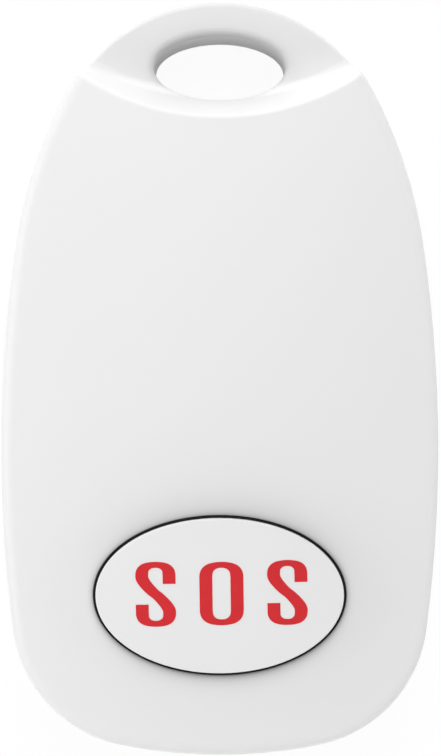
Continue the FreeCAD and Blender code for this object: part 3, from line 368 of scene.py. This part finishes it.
class FOB_OT_legend(Operator):
    """Print the letters on the cap."""

    bl_idname = "fob.legend"
    bl_label = "Legend"

    def execute(self, context):
        opts = context.scene.fob_legend
        graph = context.evaluated_depsgraph_get()
        surface = BVHTree.FromObject(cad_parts["button_cap"], graph)
        centre = button_oval()[0] + Vector(opts.centre)
        made, shader = material("legend_ink", opts.ink, roughness=0.5)
        shader.inputs["Specular IOR Level"].default_value = 0.05
        mottle(made, shader, opts.ink, amount=0.03, scale=900)
        grain(made, shader, depth=0.002, scale=6000)
        whole = bmesh.new()
        curl = (s_line, opts.curl_size, False)
        letters = (curl, (o_line, opts.round_size, True), curl)
        for column, (line, size, closed) in enumerate(letters):
            middle = Vector(((column - 1) * opts.pitch, 0))
            bm = self.letter(opts, line, size, closed, middle, centre)
            top = bmesh.ops.extrude_face_region(bm, geom=bm.faces[:])
            raised = {item for item in top["geom"] if isinstance(item, bmesh.types.BMVert)}
            for vert in bm.verts:
                lift = opts.film if vert in raised else UNDER_INK
                vert.co.z = drop(surface, vert.co) + lift * MM
            mesh = bpy.data.meshes.new("letter")
            bm.to_mesh(mesh)
            bm.free()
            whole.from_mesh(mesh)
            bpy.data.meshes.remove(mesh)
        obj = piece("button_legend", whole, made, smooth=40)
        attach(obj, "button")
        return {"FINISHED"}

    @staticmethod
    def letter(opts, line, size, closed, middle, centre):
        """A flat letter: a grid laid along its middle line, thinner where the stroke lies level."""
        across = (size[0] - opts.stem) / 2
        up = (size[1] - opts.bar) / 2
        lean = Matrix.Rotation(math.radians(opts.slope), 2)
        bm = bmesh.new()
        bmesh.ops.create_grid(bm, x_segments=opts.steps, y_segments=opts.columns, size=0.5)
        for vert in bm.verts:
            t = vert.co.x + 0.5
            ahead = line((t + NUDGE) % 1 if closed else min(t + NUDGE, 1), across, up)
            behind = line((t - NUDGE) % 1 if closed else max(t - NUDGE, 0), across, up)
            tangent = (ahead - behind).normalized()
            stroke = opts.stem - (opts.stem - opts.bar) * abs(tangent.x) ** opts.taper
            aside = Vector((-tangent.y, tangent.x)) * stroke
            spot = middle + line(t, across, up) + aside * vert.co.y
            spot.rotate(lean)
            vert.co = (spot + centre).to_3d() * MM
        if closed:
            bmesh.ops.remove_doubles(bm, verts=bm.verts, dist=WELD)
        return bm


def button_oval():
    """The middle of the button's opening and its half sizes, from the flange round it."""
    low, high = (Vector(corner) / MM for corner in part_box("button_boot"))
    flange = bpy.context.scene.fob_boot.flange
    half = (high - low) / 2
    return ((low + high) / 2).to_2d(), half.x - flange, half.y - flange


def ring_walk(bm, centre, rings, segments, closed):
    """Skins oval rings of (half width, half height, level) one after another, in millimetres.

    A level is a number, or a rule that gives it from x and y.
    """
    first = bmesh.ops.create_circle(bm, cap_ends=not closed, radius=1, segments=segments)["verts"]
    angles = [math.atan2(vert.co.y, vert.co.x) for vert in first]

    def settle(verts, ring):
        wide, high, level = ring
        for vert, angle in zip(verts, angles):
            x = centre.x + wide * math.cos(angle)
            y = centre.y + high * math.sin(angle)
            z = level(x, y) if callable(level) else level
            vert.co = Vector((x, y, z)) * MM

    settle(first, rings[0])
    order = {vert: index for index, vert in enumerate(first)}
    edges = [edge for edge in bm.edges if all(vert in order for vert in edge.verts)]
    start = edges
    for ring in rings[1:]:
        out = bmesh.ops.extrude_edge_only(bm, edges=edges)["geom"]
        verts = [item for item in out if isinstance(item, bmesh.types.BMVert)]
        edges = [item for item in out if isinstance(item, bmesh.types.BMEdge)]
        order = {
            vert: order[edge.other_vert(vert)]
            for vert in verts
            for edge in vert.link_edges
            if edge.other_vert(vert) in order
        }
        settle(sorted(verts, key=order.get), ring)
    if closed:
        bmesh.ops.bridge_loops(bm, edges=start + edges)
    else:
        bmesh.ops.contextual_create(bm, geom=edges)


class FOB_OT_gap(Operator):
    """Model the dark wiper ring in the gap round the cap."""

    bl_idname = "fob.gap"
    bl_label = "Gap ring"

    def execute(self, context):
        opts = context.scene.fob_boot
        graph = context.evaluated_depsgraph_get()
        face = BVHTree.FromObject(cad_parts["front_shell"], graph)
        centre, wide, high = button_oval()

        def under_face(x, y):
            away = Vector((x, y)) - centre
            spot = centre + away * (1 + opts.brim / away.length)
            return drop(face, spot * MM) / MM - opts.sunk

        inner = opts.gap - opts.slack
        rings = [
            (wide - inner, high - inner, opts.foot),
            (wide - opts.slack, high - opts.slack, opts.foot),
            (wide - opts.slack, high - opts.slack, under_face),
            (wide - inner, high - inner, under_face),
        ]
        bm = bmesh.new()
        ring_walk(bm, centre, rings, opts.segments, closed=True)
        made = finish("black_wiper", (0.006, 0.006, 0.007), 0.75)
        obj = piece("gap_ring", bm, made, smooth=50)
        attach(obj, "housing")
        return {"FINISHED"}


# Levels of the boot above the rear face, in millimetres.
PIP_FOOT = 9.05
UNDERSIDE = 9.3
WEB_LOW = 9.47
WEB_TOP = 9.87
FLANGE_TOP = 10.0
PAD_TOP = 10.2
WALL_TOP = 10.95
# The boot's wall beyond the opening, inside and outside, and how far its edges are rounded.
WALL_IN = 0.4
WALL_OUT = 0.8
PAD_ROUND = 0.1
FLANGE_ROUND = 0.08
WALL_ROUND = 0.07
# The web's fold: where it starts, crests and ends, as shares of the way from the opening to the
# pad, and its rise at the web's underside and top.
FOLD = (0.2, 0.5, 0.8)
FOLD_LOW = 0.05
FOLD_TOP = 0.08


class FOB_OT_boot(Operator):
    """Model the rubber boot under the cap."""

    bl_idname = "fob.boot"
    bl_label = "Boot"

    def execute(self, context):
        opts = context.scene.fob_boot
        centre, wide, high = button_oval()
        flange = opts.flange
        pad_wide, pad_high = opts.pad

        def pip(inset, z):
            return opts.pip - inset, opts.pip - inset, z

        def pad(inset, z):
            return pad_wide - inset, pad_high - inset, z

        def opening(outset, z):
            return wide + outset, high + outset, z

        def web(part, z):
            return pad_wide * part + wide * (1 - part), pad_high * part + high * (1 - part), z

        outer, crest, inner = FOLD
        rings = [
            pip(PAD_ROUND, PIP_FOOT), pip(0, PIP_FOOT + WALL_ROUND), pip(0, UNDERSIDE),
            pad(PAD_ROUND, UNDERSIDE), pad(0, UNDERSIDE + PAD_ROUND), pad(0, WEB_LOW),
            web(inner, WEB_LOW), web(crest, WEB_LOW + FOLD_LOW), web(outer, WEB_LOW),
            opening(WALL_IN, WEB_LOW), opening(WALL_IN, UNDERSIDE),
            opening(flange - FLANGE_ROUND, UNDERSIDE), opening(flange, UNDERSIDE + FLANGE_ROUND),
            opening(flange, FLANGE_TOP - FLANGE_ROUND), opening(flange - FLANGE_ROUND, FLANGE_TOP),
            opening(WALL_OUT, FLANGE_TOP), opening(WALL_OUT, WALL_TOP - WALL_ROUND),
            opening(WALL_OUT - WALL_ROUND, WALL_TOP), opening(WALL_IN + WALL_ROUND, WALL_TOP),
            opening(WALL_IN, WALL_TOP - WALL_ROUND), opening(WALL_IN, WEB_TOP),
            web(outer, WEB_TOP), web(crest, WEB_TOP + FOLD_TOP), web(inner, WEB_TOP),
            pad(0, WEB_TOP), pad(0, PAD_TOP - PAD_ROUND), pad(PAD_ROUND, PAD_TOP),
        ]
        bm = bmesh.new()
        ring_walk(bm, centre, rings, opts.segments, closed=False)
        made = finish("black_silicone", (0.012, 0.012, 0.013), 0.55, depth=0.01, fine=3000)
        obj = piece("rubber_boot", bm, made, smooth=50)
        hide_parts("button_boot")
        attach(obj, "housing")
        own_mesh(obj)
        return {"FINISHED"}


def turned(bm, x, y, outline, segments):
    """Turns an outline of (radius, height) about an upright axis, all in millimetres."""
    verts = [bm.verts.new(Vector((x + r, y, z)) * MM) for r, z in outline]
    edges = [bm.edges.new(pair) for pair in zip(verts, verts[1:])]
    bmesh.ops.spin(
        bm, geom=verts + edges, cent=Vector((x, y, 0)) * MM, axis=UPRIGHT, angle=math.tau,
        steps=segments, use_merge=True,
    )


# Outline of a screw's head from its middle: shares of its radius and of its height.
HEAD = ((0, 0), (0.7, 0), (0.88, 0.12), (1, 0.45), (1, 1))
# Radius under the thread in shank radii; length of the tip's cone and its end in core radii.
CORE = 0.8
CONE = 0.6
POINT = 0.4
# The thread's ridge: its root in core radii, its crest in shank radii, half its foot in pitches.
ROOT = 0.97
CREST = 0.995
FLANK = 0.42
# Plain screw's tip to the threaded one's, in millimetres.
SHORT = 0.02
# The cross recess: reach and width in head radii, depth in head heights, and the share of the
# reach and of the width that is left at its bottom.
REACH = 0.55
WIDTH = 0.2
DEPTH = 0.5
DRAW = (0.45, 0.6, 1)
# Edges of a screw stay sharp above this angle, in degrees.
SCREW_SHARP = 35


def screw_mesh(bm, x, y, seat, head, radius, shank, tip, pitch, segments):
    """Adds one screw, driven upwards. seat is the underside of its head, all in millimetres."""
    foot = seat - head
    core = shank * CORE
    neck = tip - core * CONE
    outline = [(radius * out, foot + head * up) for out, up in HEAD]
    outline += [(core, seat), (core, neck), (core * POINT, tip), (0, tip)]
    turned(bm, x, y, outline, segments)
    turns = (neck - seat - pitch) / pitch
    ridge = [(core * ROOT, -FLANK), (shank * CREST, 0.0), (core * ROOT, FLANK)]
    start = seat + pitch / 2
    ring = [bm.verts.new(Vector((x + r, y, start + z * pitch)) * MM) for r, z in ridge]
    steps = int(turns * segments / 2)
    bmesh.ops.spin(
        bm, geom=[bm.faces.new(ring)], cent=Vector((x, y, 0)) * MM, axis=UPRIGHT,
        angle=math.tau * turns, steps=steps, dvec=Vector((0, 0, turns * pitch / steps)) * MM,
    )


def cross_recess(obj, spots, reach, width, depth):
    """Cuts a cross recess into the heads whose feet are at spots, all in millimetres."""
    bm = bmesh.new()
    for x, y, z in spots:
        for turn in (0, math.pi / 2):
            bar = bmesh.ops.create_cube(bm, size=1)["verts"]
            bmesh.ops.scale(bm, vec=(2 * reach, width, 2 * depth), verts=bar)
            bottom = [vert for vert in bar if vert.co.z > 0]
            bmesh.ops.scale(bm, vec=DRAW, verts=bottom)
            bmesh.ops.rotate(bm, cent=(0, 0, 0), matrix=Matrix.Rotation(turn, 3, "Z"), verts=bar)
            bmesh.ops.translate(bm, vec=(x, y, z), verts=bar)
    bmesh.ops.scale(bm, vec=(MM, MM, MM), verts=bm.verts)
    mesh = bpy.data.meshes.new("recess")
    bm.to_mesh(mesh)
    bm.free()
    cutter = bpy.data.objects.new("recess", mesh)
    bpy.context.collection.objects.link(cutter)
    cut = obj.modifiers.new("recess", "BOOLEAN")
    cut.object = cutter
    cut.use_self = True
    graph = bpy.context.evaluated_depsgraph_get()
    cut_mesh = bpy.data.meshes.new_from_object(obj.evaluated_get(graph))
    obj.modifiers.clear()
    old = obj.data
    obj.data = cut_mesh
    bpy.data.meshes.remove(old)
    bpy.data.objects.remove(cutter)
    obj.data.set_sharp_from_angle(angle=math.radians(SCREW_SHARP))


def solids(node):
    """The low and high corners of each separate solid of a CAD node, in millimetres."""
    bm = bmesh.new()
    bm.from_mesh(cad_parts[node].data)
    bmesh.ops.remove_doubles(bm, verts=bm.verts, dist=MM / 1000)
    left = set(bm.verts)
    found = []
    while left:
        front = [left.pop()]
        spots = []
        while front:
            vert = front.pop()
            spots.append(vert.co / MM)
            near = {edge.other_vert(vert) for edge in vert.link_edges} & left
            left -= near
            front.extend(near)
        found.append([Vector([pick(part) for part in zip(*spots)]) for pick in (min, max)])
    bm.free()
    return sorted(found, key=lambda corners: tuple(corners[0]))


class FOB_OT_screws(Operator):
    """Model the screws with threads and cross recesses."""

    bl_idname = "fob.screws"
    bl_label = "Screws"

    def execute(self, context):
        opts = context.scene.fob_screws
        made = finish(
            "plated_steel", (0.55, 0.55, 0.56), 0.32,
            metallic=1.0, tint=0.05, patch=600, depth=0.003, fine=7000,
        )
        # Height and radius of the head, radius of the shank, pitch of the thread.
        small = (0.9, 1.25, 0.7, opts.small_pitch)
        sets = {
            "housing_screws": (1.3, 1.75, 1.0, opts.pitch),
            "board_screws": small,
            "frame_screws": small,
        }
        for node, (head, radius, shank, pitch) in sets.items():
            feet = []
            bm = bmesh.new()
            for low, high in solids(node):
                x, y = ((low + high) / 2).to_2d()
                feet.append((x, y, low.z))
                seat, tip = low.z + head, high.z - SHORT
                screw_mesh(bm, x, y, seat, head, radius, shank, tip, pitch, opts.segments)
            obj = piece(node + "_threaded", bm, made, SCREW_SHARP)
            cross_recess(obj, feet, radius * REACH, radius * WIDTH, head * DEPTH)
            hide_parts(node)
            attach(obj, "housing")
        return {"FINISHED"}


class FOB_OT_dome(Operator):
    """Model the snap dome of the switch."""

    bl_idname = "fob.dome"
    bl_label = "Snap dome"

    def execute(self, context):
        opts = context.scene.fob_dome
        low, high = solids("switch_dome")[0]
        x, y = ((low + high) / 2).to_2d()
        rim = (high.x - low.x) / 2
        rise = high.z - low.z
        radius = (rim * rim + rise * rise) / (2 * rise)
        centre = high.z - radius
        arcs = []
        for ball in (radius, radius - opts.sheet):
            reach = math.acos((low.z - centre) / ball)
            turns = [reach * step / opts.rings for step in range(opts.rings + 1)]
            arcs.append([(ball * math.sin(turn), centre + ball * math.cos(turn)) for turn in turns])
        outside, inside = arcs
        bm = bmesh.new()
        turned(bm, x, y, outside + inside[::-1], opts.segments)
        obj = piece("snap_dome", bm, bpy.data.materials["plated_steel"], smooth=50)
        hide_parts("switch_dome")
        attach(obj, "housing")
        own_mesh(obj)
        return {"FINISHED"}


def block(bm, low, high, lean=1.0):
    """Adds a block between two corners in millimetres, its top drawn in to the share lean."""
    verts = bmesh.ops.create_cube(bm, size=1)["verts"]
    upper = [vert for vert in verts if vert.co.z > 0]
    bmesh.ops.scale(bm, vec=(lean, lean, 1), verts=upper)
    low, high = Vector(low), Vector(high)
    bmesh.ops.scale(bm, vec=(high - low) * MM, verts=verts)
    bmesh.ops.translate(bm, vec=(low + high) / 2 * MM, verts=verts)


# Share of its size that is left at the top of a joint, beside a small part and beside a chip.
FILLET = 0.6
MOUND = 0.7


class FOB_OT_solder(Operator):
    """Model the solder joints and the metal ends of the small parts."""

    bl_idname = "fob.solder"
    bl_label = "Solder"

    def execute(self, context):
        opts = context.scene.fob_solder
        bm = bmesh.new()
        self.joints(bm, "controller_chip", opts.controller, opts.controller_pitch, opts)
        self.joints(bm, "transmitter_chip", opts.transmitter, opts.transmitter_pitch, opts)
        for node in ("chip_resistors", "chip_capacitors"):
            for low, high in solids(node):
                near, far = low.y - opts.proud, high.y + opts.proud
                for end, inward in ((low.x, 1), (high.x, -1)):
                    left, right = sorted((end - inward * opts.proud, end + inward * opts.metal))
                    block(bm, (left, near, low.z), (right, far, high.z + opts.proud))
                    left, right = sorted((end + inward * opts.proud, end - inward * opts.reach))
                    block(bm, (left, near, low.z), (right, far, low.z + opts.rise), FILLET)
        made = finish(
            "tin_solder", (0.60, 0.60, 0.58), 0.3,
            metallic=1.0, tint=0.05, patch=900, depth=0.004, fine=5000,
        )
        obj = piece("solder_joints", bm, made, smooth=30)
        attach(obj, "housing")
        return {"FINISHED"}

    @staticmethod
    def joints(bm, node, count, pitch, opts):
        """Adds a row of joints along each of the four sides of a chip."""
        low, high = solids(node)[0]
        middle = (low + high) / 2
        half = (high - low) / 2
        for number in range(count):
            slide = (number - (count - 1) / 2) * pitch
            for side in (-1, 1):
                for axis in (0, 1):
                    near = Vector((0, 0, low.z))
                    near[axis] = middle[axis] + side * (half[axis] + opts.reach / 2)
                    near[1 - axis] = middle[1 - axis] + slide
                    span = Vector((opts.width / 2, opts.width / 2, 0))
                    span[axis] = opts.reach / 2 + opts.proud
                    top = Vector((0, 0, opts.rise))
                    block(bm, near - span, near + span + top, MOUND)


def maths(tree, operation, first, second=None):
    """The result of a Math node on sockets or numbers."""
    step = tree.nodes.new("ShaderNodeMath")
    step.operation = operation
    for index, item in enumerate((first, second)):
        if isinstance(item, (int, float)):
            step.inputs[index].default_value = item
        elif item is not None:
            tree.links.new(item, step.inputs[index])
    return step.outputs[0]


# Colour sockets of Blender's Mix node, which share their names with its other sockets.
MIX_FIRST, MIX_SECOND, MIX_RESULT = 6, 7, 2
# Tone that the painted shade leads to, as a share of the plastic's colour.
PAINTED_SHADE_TONE = 0.1
# Widths of the soft edges of the painted light patch on the scoop's wall, at the wall's top and at
# its foot, in millimetres.
TOP_SOFT = 0.3
FOOT_SOFT = 0.5


class FOB_OT_mouldings(Operator):
    """Give the white mouldings their finish, and paint shade and light into their colour."""

    bl_idname = "fob.mouldings"
    bl_label = "Mouldings"

    def execute(self, context):
        opts = context.scene.fob_shell
        coats = {"white_abs": ("rear_shell", "button_cap"), "face_abs": ("front_shell",)}
        for name, nodes in coats.items():
            white = finish(
                name, opts.colour, opts.roughness, tint=0.006, patch=60, depth=0.0015, fine=5000
            )
            shader = white.node_tree.nodes["Principled BSDF"]
            shader.inputs["Specular IOR Level"].default_value = opts.gloss
            coat_nodes(white, *nodes)
            # Both mouldings get painted shade round the eyelet; the face also gets painted shade
            # round the button and painted light on the scoop's wall.
            self.paint_shade_and_light(white, opts, name == "face_abs")
        return {"FINISHED"}

    @staticmethod
    def paint_shade_and_light(made, opts, face):
        """Paints shade into a moulding's colour in and round the eyelet.

        The face also gets painted shade round the button, and painted light on the wall of the
        scoop.
        """
        tree = made.node_tree
        shader = tree.nodes["Principled BSDF"]
        work = partial(maths, tree)
        place = tree.nodes.new("ShaderNodeTexCoord")
        apart = tree.nodes.new("ShaderNodeSeparateXYZ")
        tree.links.new(place.outputs["Object"], apart.inputs["Vector"])
        east, north, up = (apart.outputs[axis] for axis in "XYZ")

        def far(first, second):
            squares = work("MULTIPLY", first, first), work("MULTIPLY", second, second)
            return work("SQRT", work("ADD", *squares))

        def from_axis(y):
            return far(east, work("SUBTRACT", north, y * MM))

        def outside(x, y, wide, high):
            """Distance beyond an oval, along the line from its middle."""
            aside = work("SUBTRACT", east, x * MM)
            along = work("SUBTRACT", north, y * MM)
            ovals = far(work("DIVIDE", aside, wide * MM), work("DIVIDE", along, high * MM))
            beyond = work("SUBTRACT", 1.0, work("DIVIDE", 1.0, ovals))
            return work("MAXIMUM", work("MULTIPLY", far(aside, along), beyond), 0.0)

        def fading(away, depth, reach):
            """A share that is depth at no distance and fades over reach."""
            return work("MULTIPLY", work("EXPONENT", work("DIVIDE", away, -reach * MM)), depth)

        def within(inwards, soft):
            """0 at the edge of a patch and 1 from the width of its soft edge inwards."""
            step = tree.nodes.new("ShaderNodeMapRange")
            step.inputs["From Max"].default_value = soft * MM
            tree.links.new(inwards, step.inputs["Value"])
            return step.outputs["Result"]

        # Paints shade with a strength below 1 and light with a strength above 1.
        def blend(part, before, strength):
            """The colour before, turned by that part into the plastic's colour times strength."""
            mix = tree.nodes.new("ShaderNodeMix")
            mix.data_type = "RGBA"
            tree.links.new(part, mix.inputs["Factor"])
            tree.links.new(before, mix.inputs[MIX_FIRST])
            mix.inputs[MIX_SECOND].default_value = (*(tone * strength for tone in opts.colour), 1)
            return mix.outputs[MIX_RESULT]

        mottled = shader.inputs["Base Color"].links[0].from_socket
        # Painted shade in and round the eyelet, on both mouldings.
        hole = outside(0, opts.hole_centre, opts.hole_wide, opts.hole_high)
        colour = blend(fading(hole, opts.hole_painted_shade, opts.hole_shade_reach), mottled, PAINTED_SHADE_TONE)
        if face:
            # Painted shade round the button: a narrow rim and a wide halo grey the colour towards
            # the cap.
            centre, wide, high = button_oval()
            away = outside(centre.x, centre.y, wide, high)
            rim = fading(away, opts.rim_painted_shade, opts.rim_shade_reach)
            halo_shade = fading(away, opts.halo_painted_shade, opts.halo_shade_reach)
            colour = blend(work("ADD", rim, halo_shade), colour, PAINTED_SHADE_TONE)
            # Painted light on the scoop's wall: its colour is lightened inside a patch with soft
            # edges.
            leaning = work("MULTIPLY", up, opts.wall_lean)
            top = work("ADD", leaning, (opts.wall_start + TOP_SOFT) * MM)
            below_top = work("SUBTRACT", top, from_axis(opts.wall_axis))
            past_foot = work("SUBTRACT", from_axis(opts.foot_axis), opts.foot_radius * MM)
            painted_light_mask = work("MULTIPLY", within(below_top, TOP_SOFT), within(past_foot, FOOT_SOFT))
            colour = blend(painted_light_mask, colour, 1 + opts.wall_painted_light)
        tree.links.new(colour, shader.inputs["Base Color"])


# Finishes of the parts inside, with the nodes that have them.
INSIDES = (
    ("nickel_can", (0.58, 0.57, 0.54), 0.22,
     {"metallic": 1.0, "tint": 0.03, "patch": 300, "depth": 0.002, "fine": 6000},
     ("coin_cell", "quartz_crystal")),
    ("gold_contact", (0.80, 0.58, 0.25), 0.28,
     {"metallic": 1.0, "tint": 0.03, "patch": 300, "depth": 0.002, "fine": 6000},
     ("battery_contact",)),
    ("tinned_wire", (0.62, 0.50, 0.40), 0.35,
     {"metallic": 1.0, "tint": 0.05, "patch": 400, "depth": 0.004, "fine": 3000},
     ("loop_antenna",)),
    ("solder_mask", (0.012, 0.10, 0.035), 0.35,
     {"tint": 0.12, "patch": 700, "depth": 0.01, "fine": 1800},
     ("circuit_board",)),
    ("moulded_black", (0.02, 0.02, 0.022), 0.5,
     {"tint": 0.1, "patch": 400, "depth": 0.006, "fine": 5000},
     ("switch_base", "switch_plunger", "controller_chip", "transmitter_chip", "chip_resistors")),
    ("fired_ceramic", (0.36, 0.25, 0.15), 0.45,
     {"tint": 0.08, "patch": 500, "depth": 0.004, "fine": 5000},
     ("chip_capacitors",)),
    ("natural_nylon", (0.62, 0.60, 0.54), 0.5,
     {"tint": 0.03, "patch": 200, "depth": 0.005, "fine": 3500},
     ("boot_frame",)),
    ("seal_silicone", (0.06, 0.06, 0.065), 0.6,
     {"tint": 0.05, "patch": 300, "depth": 0.008, "fine": 3000},
     ("housing_seal",)),
)


class FOB_OT_insides(Operator):
    """Give the parts inside their finishes."""

    bl_idname = "fob.insides"
    bl_label = "Insides"

    def execute(self, context):
        steel = bpy.data.materials["plated_steel"]
        coat_nodes(steel, "switch_cover", "switch_terminals", "battery_clip")
        for name, colour, roughness, texture, nodes in INSIDES:
            coat_nodes(finish(name, colour, roughness, **texture), *nodes)
        return {"FINISHED"}


# Middle of the fob, which the lamps are aimed at.
AIM = Vector((0, 0, 5)) * MM


def area_light(name, location, width, height, power):
    """A soft lamp aimed at the fob, sizes in metres."""
    data = bpy.data.lights.new(name, "AREA")
    data.shape = "RECTANGLE"
    data.size = width
    data.size_y = height
    data.energy = power
    lamp = bpy.data.objects.new(name, data)
    lamp.location = location
    lamp.rotation_euler = (AIM - Vector(location)).to_track_quat("-Z", "Y").to_euler()
    bpy.context.collection.objects.link(lamp)


# Strength of the white world round the fob.
WORLD = 0.08
# Lamps: name, place, width and height in metres, power in watts.
LIGHTS = (
    ("high_top", (0.0, 0.514, 0.613), 0.6, 0.6, 5.74),
    ("low_top", (0.0, 0.783, 0.166), 0.9, 0.25, 0.24),
    ("low_right", (0.783, 0.0, 0.166), 0.9, 0.25, 1.60),
    ("mid_tail", (0.0, -0.706, 0.376), 0.9, 0.5, 3.00),
    ("low_tail", (0.0, -0.783, 0.166), 0.9, 0.25, 1.20),
    ("mid_left", (-0.706, 0.0, 0.376), 0.9, 0.5, 0.71),
    ("low_left", (-0.783, 0.0, 0.166), 0.9, 0.25, 2.55),
)
# The floor's own white, and how far it looks plain white to the camera and in reflections.
PAPER = (0.95, 0.95, 0.95)
PLAIN = 0.95


class FOB_OT_stage(Operator):
    """Set up the floor, the lights and the camera."""

    bl_idname = "fob.stage"
    bl_label = "Stage"

    def execute(self, context):
        opts = context.scene.fob_stage
        bm = bmesh.new()
        bmesh.ops.create_grid(bm, x_segments=1, y_segments=1, size=opts.floor * MM)
        floor = piece("floor", bm, self.paper())
        world = bpy.data.worlds.new("studio")
        world.use_nodes = True
        sky = world.node_tree.nodes["Background"]
        sky.inputs["Color"].default_value = (1, 1, 1, 1)
        sky.inputs["Strength"].default_value = WORLD
        context.scene.world = world
        for lamp in LIGHTS:
            area_light(*lamp)
        lens = bpy.data.cameras.new("camera")
        lens.sensor_fit = "VERTICAL"
        lens.sensor_height = opts.sensor
        lens.lens = opts.sensor * opts.distance / opts.field
        lens.clip_start = opts.near * MM
        camera = bpy.data.objects.new("camera", lens)
        camera.location = (Vector(opts.target) + Vector((0, 0, opts.distance))) * MM
        context.collection.objects.link(camera)
        context.scene.camera = camera
        context.scene.view_settings.view_transform = "Standard"
        return {"FINISHED"}

    @staticmethod
    def paper():
        """White paper that the camera sees nearly full white, with a faint shadow on it."""
        made, shader = material("floor_paper", PAPER, roughness=0.9)
        shader.inputs["Specular IOR Level"].default_value = 0.0
        tree = made.node_tree
        ray = tree.nodes.new("ShaderNodeLightPath").outputs
        seen = maths(tree, "MAXIMUM", ray["Is Camera Ray"], ray["Is Glossy Ray"])
        seen = maths(tree, "MAXIMUM", seen, ray["Is Transmission Ray"])
        glow = tree.nodes.new("ShaderNodeEmission")
        mix = tree.nodes.new("ShaderNodeMixShader")
        share_plain, first, second = mix.inputs
        tree.links.new(maths(tree, "MULTIPLY", seen, PLAIN), share_plain)
        tree.links.new(shader.outputs["BSDF"], first)
        tree.links.new(glow.outputs["Emission"], second)
        tree.links.new(mix.outputs["Shader"], tree.nodes["Material Output"].inputs["Surface"])
        return made


# The steps in order. Screws come before the dome and the insides, which share their steel.
STEPS = ("mouldings", "screws", "dome", "solder", "insides", "boot", "gap", "legend", "stage")


class FOB_PT_panel(Panel):
    """The fob's steps in the sidebar."""

    bl_label = "Call fob"
    bl_idname = "FOB_PT_panel"
    bl_space_type = "VIEW_3D"
    bl_region_type = "UI"
    bl_category = "Fob"

    def draw(self, context):
        for step in STEPS:
            self.layout.operator(f"fob.{step}")


GROUPS = {
    "fob_legend": LegendSettings,
    "fob_shell": ShellSettings,
    "fob_boot": BootSettings,
    "fob_screws": ScrewSettings,
    "fob_dome": DomeSettings,
    "fob_solder": SolderSettings,
    "fob_stage": StageSettings,
}
CLASSES = (
    *GROUPS.values(),
    FOB_OT_legend, FOB_OT_boot, FOB_OT_gap, FOB_OT_screws, FOB_OT_dome, FOB_OT_solder,
    FOB_OT_mouldings, FOB_OT_insides, FOB_OT_stage, FOB_PT_panel,
)


def register():
    for item in CLASSES:
        bpy.utils.register_class(item)
    for name, group in GROUPS.items():
        setattr(bpy.types.Scene, name, PointerProperty(type=group))


def unregister():
    for name in GROUPS:
        delattr(bpy.types.Scene, name)
    for item in reversed(CLASSES):
        bpy.utils.unregister_class(item)


def main():
    register()
    for step in STEPS:
        getattr(bpy.ops.fob, step)()


if __name__ == "__main__":
    main()
